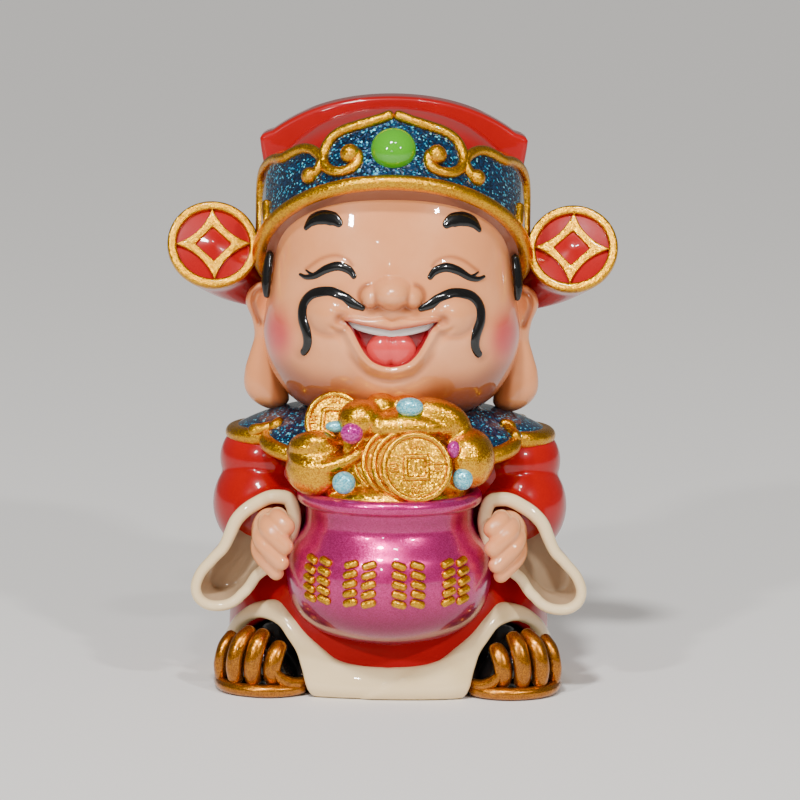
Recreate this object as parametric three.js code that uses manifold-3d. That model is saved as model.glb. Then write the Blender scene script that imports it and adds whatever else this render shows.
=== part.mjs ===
// A laughing treasure god in an official's robe and winged hat, who sits on the floor and hugs a round pot
// heaped with gold. It is one cast piece: the paint alone tells its robe, skin, pot and gold apart.
// Millimetres, +Z up. The face looks along -Y, and the origin is the middle of the flat underside.

import * as THREE from "three";
import { mergeVertices } from "three/addons/utils/BufferGeometryUtils.js";
import Module from "manifold-3d";

const wasm = await Module();
wasm.setup();
const { Manifold, Mesh: SolidMesh } = wasm;

// The figure's own height. Free forms are laid out in parts, of which the height has 100.5.
const figureHeight = 100.5;
const partsInHeight = 100.5;
const part = figureHeight / partsInHeight;

// The pot and what is in it
const potRadius = 17.6;
const potHeight = 25.6;
const potFootRadius = 8;
const potNeckRadius = 14.4;
const potLipRadius = 15.8;
const potLipHeight = 2.6;
const potWall = 1.8;
const potMouthDepth = 1.5;
const strokeRelief = 0.6;
const strokeWidth = 1.1;
const coinRadius = 5.9;
const coinThickness = 1.5;
const coinRimWidth = 0.9;
const coinRimRelief = 0.4;
const coinHole = 2.2;
const gemRadius = 1.9;

// The hat
const hatTilt = THREE.MathUtils.degToRad(35);
const hatRadius = 23.2;
const hatRimThickness = 2.6;
const panelThickness = 1.6;
const panelHeight = 12.7;
const scrollThickness = 1.5;
const hatGemRadius = 3.85;
const crownWidth = 46.6;
const crownThickness = 11.8;
const discRadius = 7.9;
const discThickness = 2.4;
const discRimWidth = 1.6;
const discRelief = 0.7;
const starHole = 3;

// The dress
const cuffWall = 1.7;
const cuffDepth = 7;
const collarThickness = 2.2;
const collarRollThickness = 1.9;
const hemThickness = 1;

const { sin, cos, abs, sqrt, hypot, PI } = Math;
const degrees = THREE.MathUtils.degToRad;

/** A place given in parts of the figure's height. */
const at = (x, y, z) => new THREE.Vector3(x, y, z).multiplyScalar(part);

/** A closed geometry as a solid that can be joined and cut. */
function solid(geometry) {
  geometry.deleteAttribute("normal");
  geometry.deleteAttribute("uv");
  const merged = mergeVertices(geometry, 1e-5);
  const vertProperties = merged.attributes.position.array;
  const triVerts = Uint32Array.from(merged.index.array);
  return new Manifold(new SolidMesh({ numProp: 3, vertProperties, triVerts }));
}

/** A solid's triangles as a geometry again. */
function geometryOf(whole) {
  const { vertProperties, triVerts } = whole.getMesh();
  const geometry = new THREE.BufferGeometry();
  geometry.setAttribute("position", new THREE.BufferAttribute(vertProperties, 3));
  geometry.setIndex(new THREE.BufferAttribute(triVerts, 1));
  return geometry;
}

const joined = (solids) => solids.reduce((whole, one) => whole.add(one));

/** The same solid on the other side of the figure. Mirrored triangles are turned to face out again. */
function mirrored(one) {
  const geometry = geometryOf(one).scale(-1, 1, 1);
  geometry.index.array.reverse();
  return solid(geometry);
}

const onBothSides = (one) => one.add(mirrored(one));

/** Sizes given in a unit. */
const sized = (sizes, unit = part) => sizes.map((size) => size * unit);

/** A smooth run of numbers through rows of [place, value, value, ...]. It gives the values at a place. */
function through(rows) {
  const slope = (i, column) => {
    const before = rows[Math.max(i - 1, 0)];
    const after = rows[Math.min(i + 1, rows.length - 1)];
    return (after[column] - before[column]) / (after[0] - before[0]);
  };
  return (place) => {
    const last = rows.length - 2;
    const found = rows.findIndex((row) => row[0] > place) - 1;
    const i = found < 0 ? (place < rows[0][0] ? 0 : last) : found;
    const span = rows[i + 1][0] - rows[i][0];
    const t = THREE.MathUtils.clamp((place - rows[i][0]) / span, 0, 1);
    return rows[i].slice(1).map((value, c) => {
      const next = rows[i + 1][c + 1];
      const rise = (2 * t ** 3 - 3 * t ** 2 + 1) * value + (3 * t ** 2 - 2 * t ** 3) * next;
      const leave = (t ** 3 - 2 * t ** 2 + t) * span * slope(i, c + 1);
      return rise + leave + (t ** 3 - t ** 2) * span * slope(i + 1, c + 1);
    });
  };
}

/** The half-width, front depth and back depth of a form at a height, through rows of [height, side, front,
    back]. It runs through their squares, so that a row of noughts closes the form with a round end. */
function outlineThrough(rows) {
  const squares = through(rows.map(([z, ...sizes]) => [z, ...sizes.map((size) => size * size)]));
  return (z) => squares(z).map((square) => sqrt(Math.max(square, 0)));
}

/** How far an oval's edge is from its middle. The angle is 0 at the front and grows towards +X. */
function ovalReach(angle, [side, front, back], power) {
  const depth = cos(angle) > 0 ? front : back;
  if (side * depth === 0) return 0;
  const sum = (abs(sin(angle)) / side) ** power + (abs(cos(angle)) / depth) ** power;
  return sum ** (-1 / power);
}

/** A closed round body: each point of a ball goes to place(angle, height, ring), with height from -1 to 1. */
function roundBody(sides, rings, place) {
  const geometry = new THREE.SphereGeometry(1, sides, rings).rotateX(PI / 2);
  const { position } = geometry.attributes;
  for (let i = 0; i < position.count; i += 1) {
    const [x, y, z] = [position.getX(i), position.getY(i), position.getZ(i)];
    const ring = hypot(x, y);
    const moved = ring < 1e-6 ? place(0, z, 0) : place(Math.atan2(x, -y), z, ring);
    position.setXYZ(i, moved.x, moved.y, moved.z);
  }
  return geometry;
}

/** An egg with its middle at a place, and three half-widths in a unit. */
function egg(middle, [wide, deep, tall], sides, rings, unit = part) {
  const geometry = new THREE.SphereGeometry(1, sides, rings).rotateX(PI / 2);
  geometry.scale(wide * unit, deep * unit, tall * unit).translate(middle.x, middle.y, middle.z);
  return solid(geometry);
}

/** A round-ended bar along a smooth line of points, with its half-thickness given along it. */
function bar(points, halves, sides, rings) {
  const line = new THREE.CatmullRomCurve3(points);
  const steps = 60;
  const frames = line.computeFrenetFrames(steps, false);
  const halfAt = through(halves.map((half, i) => [i / (halves.length - 1), half]));
  const geometry = roundBody(sides, rings, (angle, height, ring) => {
    const along = (1 + height) / 2;
    const step = Math.round(along * steps);
    const half = halfAt(along)[0] * ring ** 0.4;
    return line
      .getPointAt(along)
      .addScaledVector(frames.normals[step], half * cos(angle))
      .addScaledVector(frames.binormals[step], half * sin(angle));
  });
  return solid(geometry);
}

/** A turned profile of [outwards, along] pairs, from its low end to its high, each point then moved by place. */
function turned(profile, segments, place) {
  const points = profile.map(([outwards, along]) => new THREE.Vector2(outwards, along));
  const geometry = new THREE.LatheGeometry(points, segments).rotateX(PI / 2);
  const { position } = geometry.attributes;
  for (let i = 0; i < position.count; i += 1) {
    const [x, y, z] = [position.getX(i), position.getY(i), position.getZ(i)];
    const outwards = hypot(x, y);
    const moved = place(outwards < 1e-6 ? 0 : Math.atan2(x, -y), z, outwards);
    position.setXYZ(i, moved.x, moved.y, moved.z);
  }
  return solid(geometry);
}

/** A skin over a stack of rings, each a function from an angle to a place, closed by a point at both ends. */
function stacked(firstEnd, rings, lastEnd, segments) {
  const profile = [[0, 0], ...rings.map((ring, i) => [1, i + 1]), [0, rings.length + 1]];
  return turned(profile, segments, (angle, along, outwards) => {
    if (outwards < 0.5) return along < 0.5 ? firstEnd : lastEnd;
    return rings[Math.round(along) - 1](angle);
  });
}

/** Turns a geometry whose face looks along +Z to look along a direction, and puts it at a place. */
function facing(geometry, direction, place) {
  const object = new THREE.Object3D();
  object.up.set(0, 0, 1);
  object.lookAt(direction);
  return solid(geometry.applyQuaternion(object.quaternion).translate(place.x, place.y, place.z));
}

// The head: a wide, full-cheeked ball on the collar
const headRows = [
  [43.5, 0, 0, 0],
  [46.5, 13.2, 10, 10],
  [50, 18.2, 16, 14],
  [55, 21.2, 19.3, 16.5],
  [60, 22.2, 20.6, 18],
  [65, 21.8, 20.3, 18],
  [70, 20.8, 19.5, 17],
  [75, 20.2, 18.7, 17],
  [80, 19.8, 17.6, 17],
  [86, 18.2, 15.4, 16],
  [92, 13, 10.5, 12],
  [96, 0, 0, 0],
];
const headAt = outlineThrough(headRows);
const axisY = -1;
const headPower = 2.25;

function headBall() {
  const low = headRows[0][0];
  const high = headRows.at(-1)[0];
  const geometry = roundBody(20, 14, (angle, height) => {
    const z = (low + high) / 2 + ((high - low) / 2) * height;
    const reach = ovalReach(angle, headAt(z), headPower);
    return at(reach * sin(angle), axisY - reach * cos(angle), z);
  });
  return solid(geometry);
}

/** A place on the face, seen from the front, and so many parts out of the skin. */
function onFace(x, z, out = 0) {
  const [side, front] = headAt(z);
  const depth = front * (1 - (abs(x) / side) ** headPower) ** (1 / headPower);
  return at(x, axisY - depth - out, z);
}

/** A raised line across the face, through [x, z] spots seen from the front. */
const faceLine = (spots, halves, out, sides, rings) =>
  bar(spots.map(([x, z]) => onFace(x, z, out)), sized(halves), sides, rings);

function faceCarving() {
  const browLine = [[14.9, 79], [13.5, 80.7], [11.6, 81.3], [9.8, 81], [8.5, 80]];
  const moustacheLine = [
    [4.4, 66.4], [6.7, 67.4], [8.7, 68.7], [10.6, 69.2], [13, 68.6], [14.7, 66.9], [15, 64.5], [14.3, 61.5],
    [14.2, 59.8], [15.2, 58.2],
  ];
  const brow = faceLine(browLine, [0.5, 1, 1.1, 1, 0.5], 0.1, 5, 6);
  const moustache = faceLine(moustacheLine, [0.35, 0.8, 1, 1.05, 1.05, 1, 0.95, 0.9, 0.75, 0.35], 0.4, 5, 12);
  const apple = egg(onFace(10.7, 65.4, -1), [3.2, 2.6, 3.2], 8, 6);
  const nostril = egg(onFace(3.5, 68.6, 0.4), [1.8, 2.2, 1.6], 5, 4);
  const nose = egg(onFace(0, 69.1, 0.8), [3.3, 3.2, 2.6], 9, 5);
  return nose.add(onBothSides(joined([brow, moustache, apple, nostril])));
}

// The open mouth: a hollow with the upper teeth and the tongue left standing in it
const mouthDepth = 2.4;
const mouthCorner = [8.1, 64.6];
const mouthLow = [[5.8, 61.4], [3.9, 58.4], [0, 56.7]];
const mouthHigh = [[3.8, 63.6], [0, 63]];

/** A flat shape in the face's plane from a list of points on the +X side, carried through the face. */
function facePlate(edge, front, back) {
  const right = edge.map(([x, z]) => new THREE.Vector2(x, z).multiplyScalar(part));
  const aside = right.filter((point) => point.x > 0).reverse();
  const left = aside.map((point) => new THREE.Vector2(-point.x, point.y));
  const shape = new THREE.Shape([...right, ...left]);
  const geometry = new THREE.ExtrudeGeometry(shape, { depth: (back - front) * part, bevelEnabled: false });
  return solid(geometry.rotateX(PI / 2).translate(0, back * part, 0));
}

function withMouth(head) {
  const surface = onFace(0, 61).y / part;
  const back = surface + mouthDepth;
  const hollow = facePlate([mouthHigh[1], mouthHigh[0], mouthCorner, ...mouthLow], surface - 4, back);
  const teeth = facePlate([[0, 66], [7, 65], [6, 62.9], [0, 62]], surface + 0.9, back + 2);
  const tongue = egg(at(0, back, 58.4), [3.6, 1.7, 2.6], 8, 4);
  const lipLine = [[-6.4, 62.3], [-5.2, 58.6], [-3, 55.8], [0, 55], [3, 55.8], [5.2, 58.6], [6.4, 62.3]];
  const lip = faceLine(lipLine, [0.35, 0.7, 0.9, 0.95, 0.9, 0.7, 0.35], 0, 4, 8);
  return joined([head.subtract(hollow), teeth, tongue, lip]);
}

function ear() {
  const shell = egg(at(22.5, 1.5, 65.2), [2.6, 3, 3.4], 8, 5);
  const lobeLine = [at(22.6, 1.4, 64), at(22.7, 1, 59.5), at(22.4, 0.6, 54), at(21.3, 0, 48.6)];
  return shell.add(bar(lobeLine, sized([1.9, 2, 3.4, 2.6]), 6, 6));
}

// The hat is built upright about its own axis and then leans back on the head
const hatPlace = new THREE.Matrix4().makeRotationX(-hatTilt).setPosition(at(0, axisY, 74.8));
const hatSide = hatRadius - 0.9;

/** A place on the hat's band: an angle from the front, a height over the rim, and so far out of the band. */
function onBand(angle, up, out = 0) {
  const reach = ovalReach(angle, [hatRadius - 0.3, hatRadius, hatRadius - 2.2], 2) + out;
  return new THREE.Vector3(reach * sin(angle), -reach * cos(angle), up).applyMatrix4(hatPlace);
}

// The dome rises from a thick rolled rim, which dips a little at the temples. Higher up it leans ahead of the
// rim's middle, to leave room for the crown behind it: [height, half-width, half-depth, ahead]
const domeRows = [
  [6, hatSide, hatSide - 1.7, 1],
  [12, hatSide - 1.2, hatSide - 4.7, 2.1],
  [17, hatSide - 4.4, hatSide - 9.6, 3.2],
  [21, hatSide - 9.2, hatSide - 14.6, 4.1],
  [23.6, hatSide - 15.5, hatSide - 18.6, 4.6],
];

function hatDome() {
  const half = hatRimThickness / 2;
  const rim = [-1.15, -0.5, 0.5, 1.15].map((up) => (angle) => {
    const drop = part * (0.6 + 1.2 * sin(angle) ** 4);
    return onBand(angle, up * half - drop, abs(up) < 1 ? half : -0.2 * half);
  });
  const inHat = (x, ahead, up) => new THREE.Vector3(x, -ahead, up * part).applyMatrix4(hatPlace);
  const dome = domeRows.map(([up, wide, deep, ahead]) => (angle) =>
    inHat(wide * sin(angle), ahead * part + deep * cos(angle), up));
  return stacked(inHat(0, 0, -3), [...rim, ...dome], inHat(0, 4.7 * part, 24.5), 22);
}

// The panel's top edge climbs in two clouds to a peak over the brow: [angle, share of the panel's height]
const panelEnd = 94;
const panelEdge = through([
  [0, 1], [7, 0.91], [15, 0.86], [22, 0.81], [27, 0.72], [30.5, 0.5], [34, 0.58], [41, 0.73], [48, 0.76],
  [55, 0.77], [62, 0.87], [70, 0.94], [80, 0.95], [88, 0.8], [panelEnd, 0.3],
]);
const panelTop = (turn) => panelHeight * panelEdge(abs(turn))[0];

/** The panel round the front half of the hat, with a raised gold edge along its top and down its ends. */
function hatPanel() {
  const geometry = new THREE.BoxGeometry(1, 1, 1, 24, 1, 3);
  const { position } = geometry.attributes;
  const half = scrollThickness / 2;
  for (let i = 0; i < position.count; i += 1) {
    const turn = position.getX(i) * 2 * panelEnd;
    const row = Math.round((position.getZ(i) + 0.5) * 3);
    const top = panelTop(turn);
    const up = [0, top - scrollThickness, top - half, top + half][row];
    const raised = row > 1 ? half : 0;
    const moved = onBand(degrees(turn), up, position.getY(i) > 0 ? -panelThickness : raised);
    position.setXYZ(i, moved.x, moved.y, moved.z);
  }
  return solid(geometry);
}

/** A gold line on the panel through [angle, share of the panel's height] pairs. */
const bandLine = (spots, halves, rings) =>
  bar(spots.map(([turn, share]) => onBand(degrees(turn), share * panelHeight)), halves, 5, rings);

function hatScrolls() {
  const half = scrollThickness / 2;
  const curl = [
    [29.5, 0.63], [30.2, 0.49], [29.4, 0.34], [26.5, 0.22], [21.5, 0.17], [17, 0.24], [15.4, 0.41],
    [18.2, 0.49],
  ];
  const cloud = [[36.5, 0.27], [33, 0.31], [31.5, 0.47], [35, 0.61]];
  const finger = [[76, 0.36], [74, 0.16], [75, -0.05]];
  return onBothSides(joined([
    bandLine(curl, [half, half, half, half * 1.5], 9),
    bandLine(cloud, [half * 1.4, half, half, half], 5),
    bandLine(finger, [half * 0.8, half, half * 0.8], 4),
  ]));
}

const hatGem = () =>
  egg(onBand(0, 0.47 * panelHeight, 0.2), [hatGemRadius, hatGemRadius / 2, hatGemRadius], 12, 6, 1);

/** The crown that stands behind the dome. Its foot slopes down to the rim at the nape. */
function rearCrown() {
  const half = crownWidth / 2;
  const [foot, shoulder, peak] = [70 * part, 93.2 * part, figureHeight];
  const cornerHigh = shoulder + (peak - shoulder) * 0.16;
  const flare = foot + (shoulder - foot) * 0.4;
  const shape = new THREE.Shape();
  shape.moveTo(-half * 0.78, foot);
  shape.lineTo(half * 0.78, foot);
  shape.quadraticCurveTo(half * 1.01, flare, half, shoulder);
  shape.lineTo(half * 0.91, cornerHigh);
  shape.bezierCurveTo(half * 0.6, peak * 0.985, half * 0.35, peak, 0, peak);
  shape.bezierCurveTo(-half * 0.35, peak, -half * 0.6, peak * 0.985, -half * 0.91, cornerHigh);
  shape.lineTo(-half, shoulder);
  shape.quadraticCurveTo(-half * 1.01, flare, -half * 0.78, foot);
  const edge = 1.2 * part;
  const front = 6.6 * part;
  const geometry = new THREE.ExtrudeGeometry(shape, {
    depth: crownThickness - 2 * edge, curveSegments: 5,
    bevelThickness: edge, bevelSize: edge, bevelOffset: -edge, bevelSegments: 1,
  });
  geometry.rotateX(PI / 2).translate(0, front + crownThickness - edge, 0);
  const { position } = geometry.attributes;
  for (let i = 0; i < position.count; i += 1) {
    const z = position.getZ(i);
    if (z < foot + 2 * edge) position.setZ(i, z - 0.5 * (position.getY(i) - front));
  }
  return solid(geometry);
}

// Each wing of the hat is a round disc with a coin's star, at the end of a horn from the back of the hat
const discMiddle = at(31, -1, 74.9);
const discFacing = new THREE.Vector3(-0.13, -0.9, 0.43).normalize();

function wing() {
  const inner = discRadius - discRimWidth;
  const face = discThickness / 2;
  const turn = new THREE.Quaternion().setFromUnitVectors(new THREE.Vector3(0, -1, 0), discFacing);
  const discRing = (radius, ahead) => (angle) => {
    const spot = new THREE.Vector3(-radius * sin(angle), -ahead, -radius * cos(angle));
    return spot.applyQuaternion(turn).add(discMiddle);
  };
  const hornRing = (x, y, z, radius, lean) => (angle) =>
    at(x - radius * sin(angle), y + radius * lean * cos(angle), z - radius * cos(angle));
  const middle = discMiddle.clone().addScaledVector(discFacing, face);
  const body = stacked(middle, [
    discRing(inner, face), discRing(inner, face + discRelief), discRing(discRadius, face + discRelief),
    discRing(discRadius, -face), discRing(discRadius - 0.6, -face - 3),
    hornRing(27, 8.5, 70.5, 7, 0.3), hornRing(22, 11, 68.5, 6, 0.4), hornRing(16, 12, 67, 4.6, 0.5),
  ], at(15, 12, 67), 12);
  const around = (reach, quarter) => [reach * cos((quarter * PI) / 2), reach * sin((quarter * PI) / 2)];
  const [bend, tip] = [0.42 * inner, inner + 0.2];
  const star = new THREE.Shape();
  star.moveTo(tip, 0);
  for (const quarter of [1, 2, 3, 4]) {
    star.quadraticCurveTo(...around(bend, quarter - 0.5), ...around(tip, quarter));
  }
  const hole = [0, -1, -2, -3].map((quarter) => new THREE.Vector2(...around(starHole, quarter)));
  star.holes.push(new THREE.Path(hole));
  const depth = face + discRelief;
  const plate = new THREE.ExtrudeGeometry(star, { depth, bevelEnabled: false, curveSegments: 2 });
  return body.add(facing(plate, discFacing, discMiddle));
}

// The robe: a dome from the floor to the shoulders
const robeRows = [
  [-9, 0, 0, 0],
  [0, 27.2, 20.6, 18],
  [5, 27.7, 20.6, 18.7],
  [14, 27.4, 18.4, 18.9],
  [22, 26.6, 14, 18.4],
  [32, 26, 11, 17.6],
  [39, 25, 10.6, 16.4],
  [43.5, 21, 10.4, 13.4],
  [47, 13, 8, 10],
  [49, 0, 0, 0],
];
const robeAt = outlineThrough(robeRows);
const robePower = 2.5;
const robeReach = (angle, z) => ovalReach(angle, robeAt(z / part), robePower) * part;

/** A place on the robe at an angle and a height, so far out of the cloth. */
function onRobe(angle, z, out) {
  const reach = robeReach(angle, z) + out;
  return new THREE.Vector3(reach * sin(angle), axisY * part - reach * cos(angle), z);
}

// The hem lies on the floor in front and behind, and rises in an arch over each foot: [angle, parts high]
const hemLow = through([
  [0, 0], [32, 0], [36, 3.8], [39, 7], [43.5, 9.4], [48, 11.4], [54, 12.3], [59, 12.2], [65, 10.9], [71, 8.4],
  [77, 4], [81, 0], [180, 0],
]);
const hemHigh = through([
  [0, 5.4], [13.5, 5.7], [23.5, 6.6], [31, 8.6], [38.5, 10.8], [46, 13.6], [53, 15.6], [61, 14.9], [67, 13.1],
  [76, 9.8], [88, 6.8], [110, 5.8], [180, 5.4],
]);

/** The robe in one skin: floor, hem with its thick edge, and the cloth up to the neck. */
function robe() {
  // The upright folds of the skin stand closest at the arches over the feet
  const turns = [0, 16, 31, 36, 41, 47, 54, 61, 68, 75, 81, 95, 120, 150, 180];
  const ring = (heightAt, out) => (angle) => {
    const turn = turns[Math.round((abs(angle) / PI) * (turns.length - 1))];
    return onRobe(degrees(turn) * Math.sign(angle), heightAt(turn), out);
  };
  const low = (turn) => hemLow(turn)[0] * part;
  const high = (turn) => hemHigh(turn)[0] * part;
  const level = (z) => ring(() => z * part, 0);
  const hem = [ring(low, 0), ring(low, hemThickness), ring(high, hemThickness), ring(high, 0)];
  const rings = [level(-1), ...hem, level(22), level(34), level(41), level(46)];
  return stacked(at(0, axisY, -1), rings, at(0, axisY, 48.5), 2 * (turns.length - 1));
}

// Each shoe has four thick ribs over its toe. From its inner side outwards, by turns beside a rib and on it:
// [place, half-depth, height]
const shoeMiddleY = -11.5;
const shoeAcross = [
  [14.4, 6, 4.6], [16.2, 7.6, 7.2], [17.2, 7.2, 7.4], [19, 9, 9.8], [21, 8.2, 8.8], [22.9, 9.6, 10.8],
  [24.6, 8.2, 8.8], [25.9, 8.8, 9.4], [27.3, 7, 7], [28.3, 6.4, 6.2],
];

function shoe() {
  const rings = shoeAcross.map(([x, deep, tall]) => (angle) =>
    at(x, shoeMiddleY - deep * cos(angle), -tall * sin(angle)));
  return stacked(at(13.5, shoeMiddleY, 0), rings, at(29, shoeMiddleY, 0), 10);
}

// Each sleeve hangs open to the front in a long drop, and its cuff has a thick pale edge
const cuffPoints = [
  [16, 33.6], [19.5, 34.8], [23.4, 33.3], [26.3, 30.9], [27.8, 27.9], [28.9, 25.4], [30.7, 23.4],
  [32.7, 20.9], [33.5, 18.5], [33, 16.3], [31.3, 14.8], [28.9, 14.4], [26.4, 15], [24.2, 16.8], [21.6, 20],
  [17.4, 24],
];
const cuffCurve = new THREE.CatmullRomCurve3(cuffPoints.map(([x, z]) => at(x, 0, z)), true);
const cuffFace = (z) => -18.4 * part - (24 * part - z) * 0.1;

/** A place on the cuff's edge, drawn in by an inset, at a depth behind its face. */
function onCuff(angle, inset, depth) {
  const along = (angle / (2 * PI) + 1) % 1;
  const point = cuffCurve.getPoint(along);
  const tangent = cuffCurve.getTangent(along);
  const aside = new THREE.Vector3(-tangent.z, 0, tangent.x).multiplyScalar(inset);
  const inwards = aside.dot(at(24.6, 0, 25).sub(point)) > 0 ? 1 : -1;
  point.addScaledVector(aside, inwards);
  point.y = cuffFace(point.z) + depth;
  return point;
}

/** The sleeve, or the hollow in it, narrowing from the cuff towards a far end. */
function sleeveBody(inset, from, to, farEnd, profile) {
  return turned(profile, 14, (angle, along, outwards) => {
    const edge = onCuff(angle, inset, from + (to - from) * along);
    const centre = farEnd.clone().lerp(at(25.2, 0, 24), 1 - along).setY(edge.y);
    return centre.lerp(edge, outwards);
  });
}

function sleeve() {
  const far = at(23, 0, 27);
  const outer = [[0, 0], [1, 0], [0.95, 0.25], [0.76, 0.65], [0, 1]];
  const inner = [[0, -0.3], [1, -0.3], [0.9, 0.6], [0, 1]];
  const cloth = sleeveBody(0, 0, 20 * part, far, outer);
  const hollow = sleeveBody(cuffWall, 0, cuffDepth, far, inner);
  const armLine = [at(18, 1, 40), at(24.2, 0.5, 35), at(25.3, -1.5, 28.5), at(24.5, -8, 25)];
  const arm = bar(armLine, sized([6, 6.3, 6, 5.4]), 8, 5);
  return arm.add(cloth).subtract(hollow);
}

// The pot, and the hands that hold it at its sides
const potMiddle = at(0, -15.6, 0);
const potFoot = 9.8 * part;
const potTop = potFoot + potHeight;

/** How wide the pot is at a share of the height between its foot and its lip. */
const potBelly = through([
  [0, potFootRadius], [0.07, potFootRadius + (potRadius - potFootRadius) * 0.48],
  [0.22, potFootRadius + (potRadius - potFootRadius) * 0.84], [0.46, potRadius], [0.66, potRadius * 0.965],
  [0.84, potNeckRadius], [1, potNeckRadius],
]);
const potReach = (z) => potBelly((z - potFoot) / (potHeight - potLipHeight))[0];

function pot() {
  const belly = [0, 0.1, 0.26, 0.46, 0.66, 0.84, 1].map((share) => {
    const z = potFoot + share * (potHeight - potLipHeight);
    return [potReach(z), z];
  });
  const lip = [[potLipRadius, potTop - potLipHeight * 0.7], [potLipRadius, potTop - potLipHeight * 0.2],
    [potLipRadius - potWall * 0.4, potTop], [potLipRadius - potWall, potTop]];
  const mouth = [[potLipRadius - potWall, potTop - potMouthDepth], [0, potTop - potMouthDepth]];
  return turned([[0, potFoot], ...belly, ...lip, ...mouth], 18, (angle, along, outwards) =>
    new THREE.Vector3(outwards * sin(angle), -outwards * cos(angle), along).add(potMiddle));
}

/** Four square fields of short slanting strokes round the pot's front. */
function strokes() {
  const made = [];
  for (const field of [-43, -16, 11, 40]) {
    for (const row of [0, 1, 2]) {
      const z = potFoot + potHeight * (0.37 + 0.085 * row);
      const lean = row % 2 ? 0.14 : -0.14;
      const box = new THREE.BoxGeometry(potRadius * 0.28, strokeRelief + 1.4, strokeWidth).rotateY(lean);
      box.translate(0, -potReach(z) + 0.7 - strokeRelief / 2, z);
      made.push(solid(box.rotateZ(degrees(field)).translate(potMiddle.x, potMiddle.y, 0)));
    }
  }
  return joined(made);
}

/** A closed hand in one skin: four fingers, one over the other, slope down to the pot. */
function hand() {
  const holdX = potRadius + 2.6 * part;
  // From the top finger down: [height, half-width, half-depth], on a finger and between two by turns
  const levels = [
    [32, 2.6, 2.6], [30.6, 3.8, 4.4], [29.4, 3.6, 3.8], [27.8, 4, 5.2], [26.4, 3.7, 4.2],
    [24.8, 4, 5.2], [23.4, 3.5, 4], [21.9, 3.5, 4.6], [20.4, 2.4, 2.8],
  ].reverse();
  const rings = levels.map(([z, wide, deep]) => (angle) => {
    const [aside, ahead] = [wide * sin(angle), deep * cos(angle)];
    return at(aside, -18.6 - ahead, z + 0.35 * aside).add(new THREE.Vector3(holdX, 0, 0));
  });
  const end = (z) => at(0, -18.6, z).setX(holdX);
  const wristLine = [at(1.6, -15, 27), at(4, -9, 26)].map((spot) => spot.setX(spot.x + holdX));
  const wrist = bar(wristLine, sized([4, 4.6]), 6, 3);
  return stacked(end(19.8), rings, end(32.6), 9).add(wrist);
}

// The heap in the pot: coins, boat-shaped ingots and a few gems. It is laid out from the middle of the pot's
// mouth, in parts of which the lip's radius has 15.8.
const heapPart = potLipRadius / 15.8;
const potMouth = new THREE.Vector3(0, potMiddle.y, potTop);
const inHeap = (x, y, z) => new THREE.Vector3(x, y, z).multiplyScalar(heapPart).add(potMouth);

function coin(middle, direction, rimmed) {
  const half = coinThickness / 2;
  const [inner, sunk] = [coinRadius - coinRimWidth, half - coinRimRelief];
  const face = rimmed ? [[inner, half], [inner, sunk], [0, sunk]] : [[0, half]];
  const profile = [[0, -half], [coinRadius, -half], [coinRadius, half], ...face];
  const points = profile.map(([outwards, along]) => new THREE.Vector2(outwards, along));
  const body = facing(new THREE.LatheGeometry(points, rimmed ? 14 : 10).rotateX(PI / 2), direction, middle);
  const hole = new THREE.BoxGeometry(coinHole, coinHole, coinThickness * 3);
  return rimmed ? body.subtract(facing(hole, direction, middle)) : body;
}

function treasure() {
  const front = new THREE.Vector3(0.1, -0.95, 0.3).normalize();
  const step = new THREE.Vector3(-0.95, 0.62, 0.12).multiplyScalar(coinThickness * 1.2);
  const stack = [2, 1, 0].map((i) => coin(inHeap(4.4, -11.4, 5.2).addScaledVector(step, i), front, i === 0));
  const backCoin = coin(inHeap(-9.4, -2.6, 11.6), new THREE.Vector3(-0.25, -0.9, 0.35).normalize(), false);
  const lump = (spot, sizes, sides, rings) => egg(inHeap(...spot), sizes, sides, rings, heapPart);
  const ingot = (spots, halves, sides, rings) =>
    bar(spots.map((spot) => inHeap(...spot)), sized(halves, heapPart), sides, rings);
  const leftIngot = [[-15.6, -1.4, 7.2], [-13.6, -6.9, 4.8], [-8.5, -9.6, 4.2], [-5, -8.4, 5.6]];
  const topIngot = [[-7.6, -2.9, 14], [-4.5, -5.4, 13.2], [0.5, -5.8, 12]];
  const rightIngot = [[2, -5, 12], [7, -5, 13.4], [11.4, -3.8, 11.8], [12.4, -2.9, 8.6]];
  const gold = [
    ingot(leftIngot, [3.6, 4.6, 4.2, 3], 7, 5), lump([-12.6, -5.9, 8], [4.6, 3.6, 2.6], 6, 3),
    ingot(topIngot, [2.8, 3.3, 2.6], 6, 4), lump([-1.2, -2, 15.2], [3.8, 3, 2.5], 6, 3),
    ingot(rightIngot, [2.6, 3.4, 3.2, 2.6], 6, 6), lump([13.4, -3.8, 6.2], [4.4, 5.6, 5.4], 7, 5),
  ];
  const gemSpots = [
    [-7.6, -12.4, 2.8], [12.2, -9.2, 3.2], [3.2, -6.6, 15], [-6.4, -7.6, 9.8], [10.4, -8.4, 8.2],
  ];
  const gems = gemSpots.map((spot) => egg(inHeap(...spot), [gemRadius, gemRadius, gemRadius], 5, 4, 1));
  return joined([lump([0, -0.8, -0.4], [13.6, 13, 11], 10, 4), ...stack, backCoin, ...gold, ...gems]);
}

// The collar: eight blue lobes with a rolled gold edge, lying over the shoulders
const lobes = 8;

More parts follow.
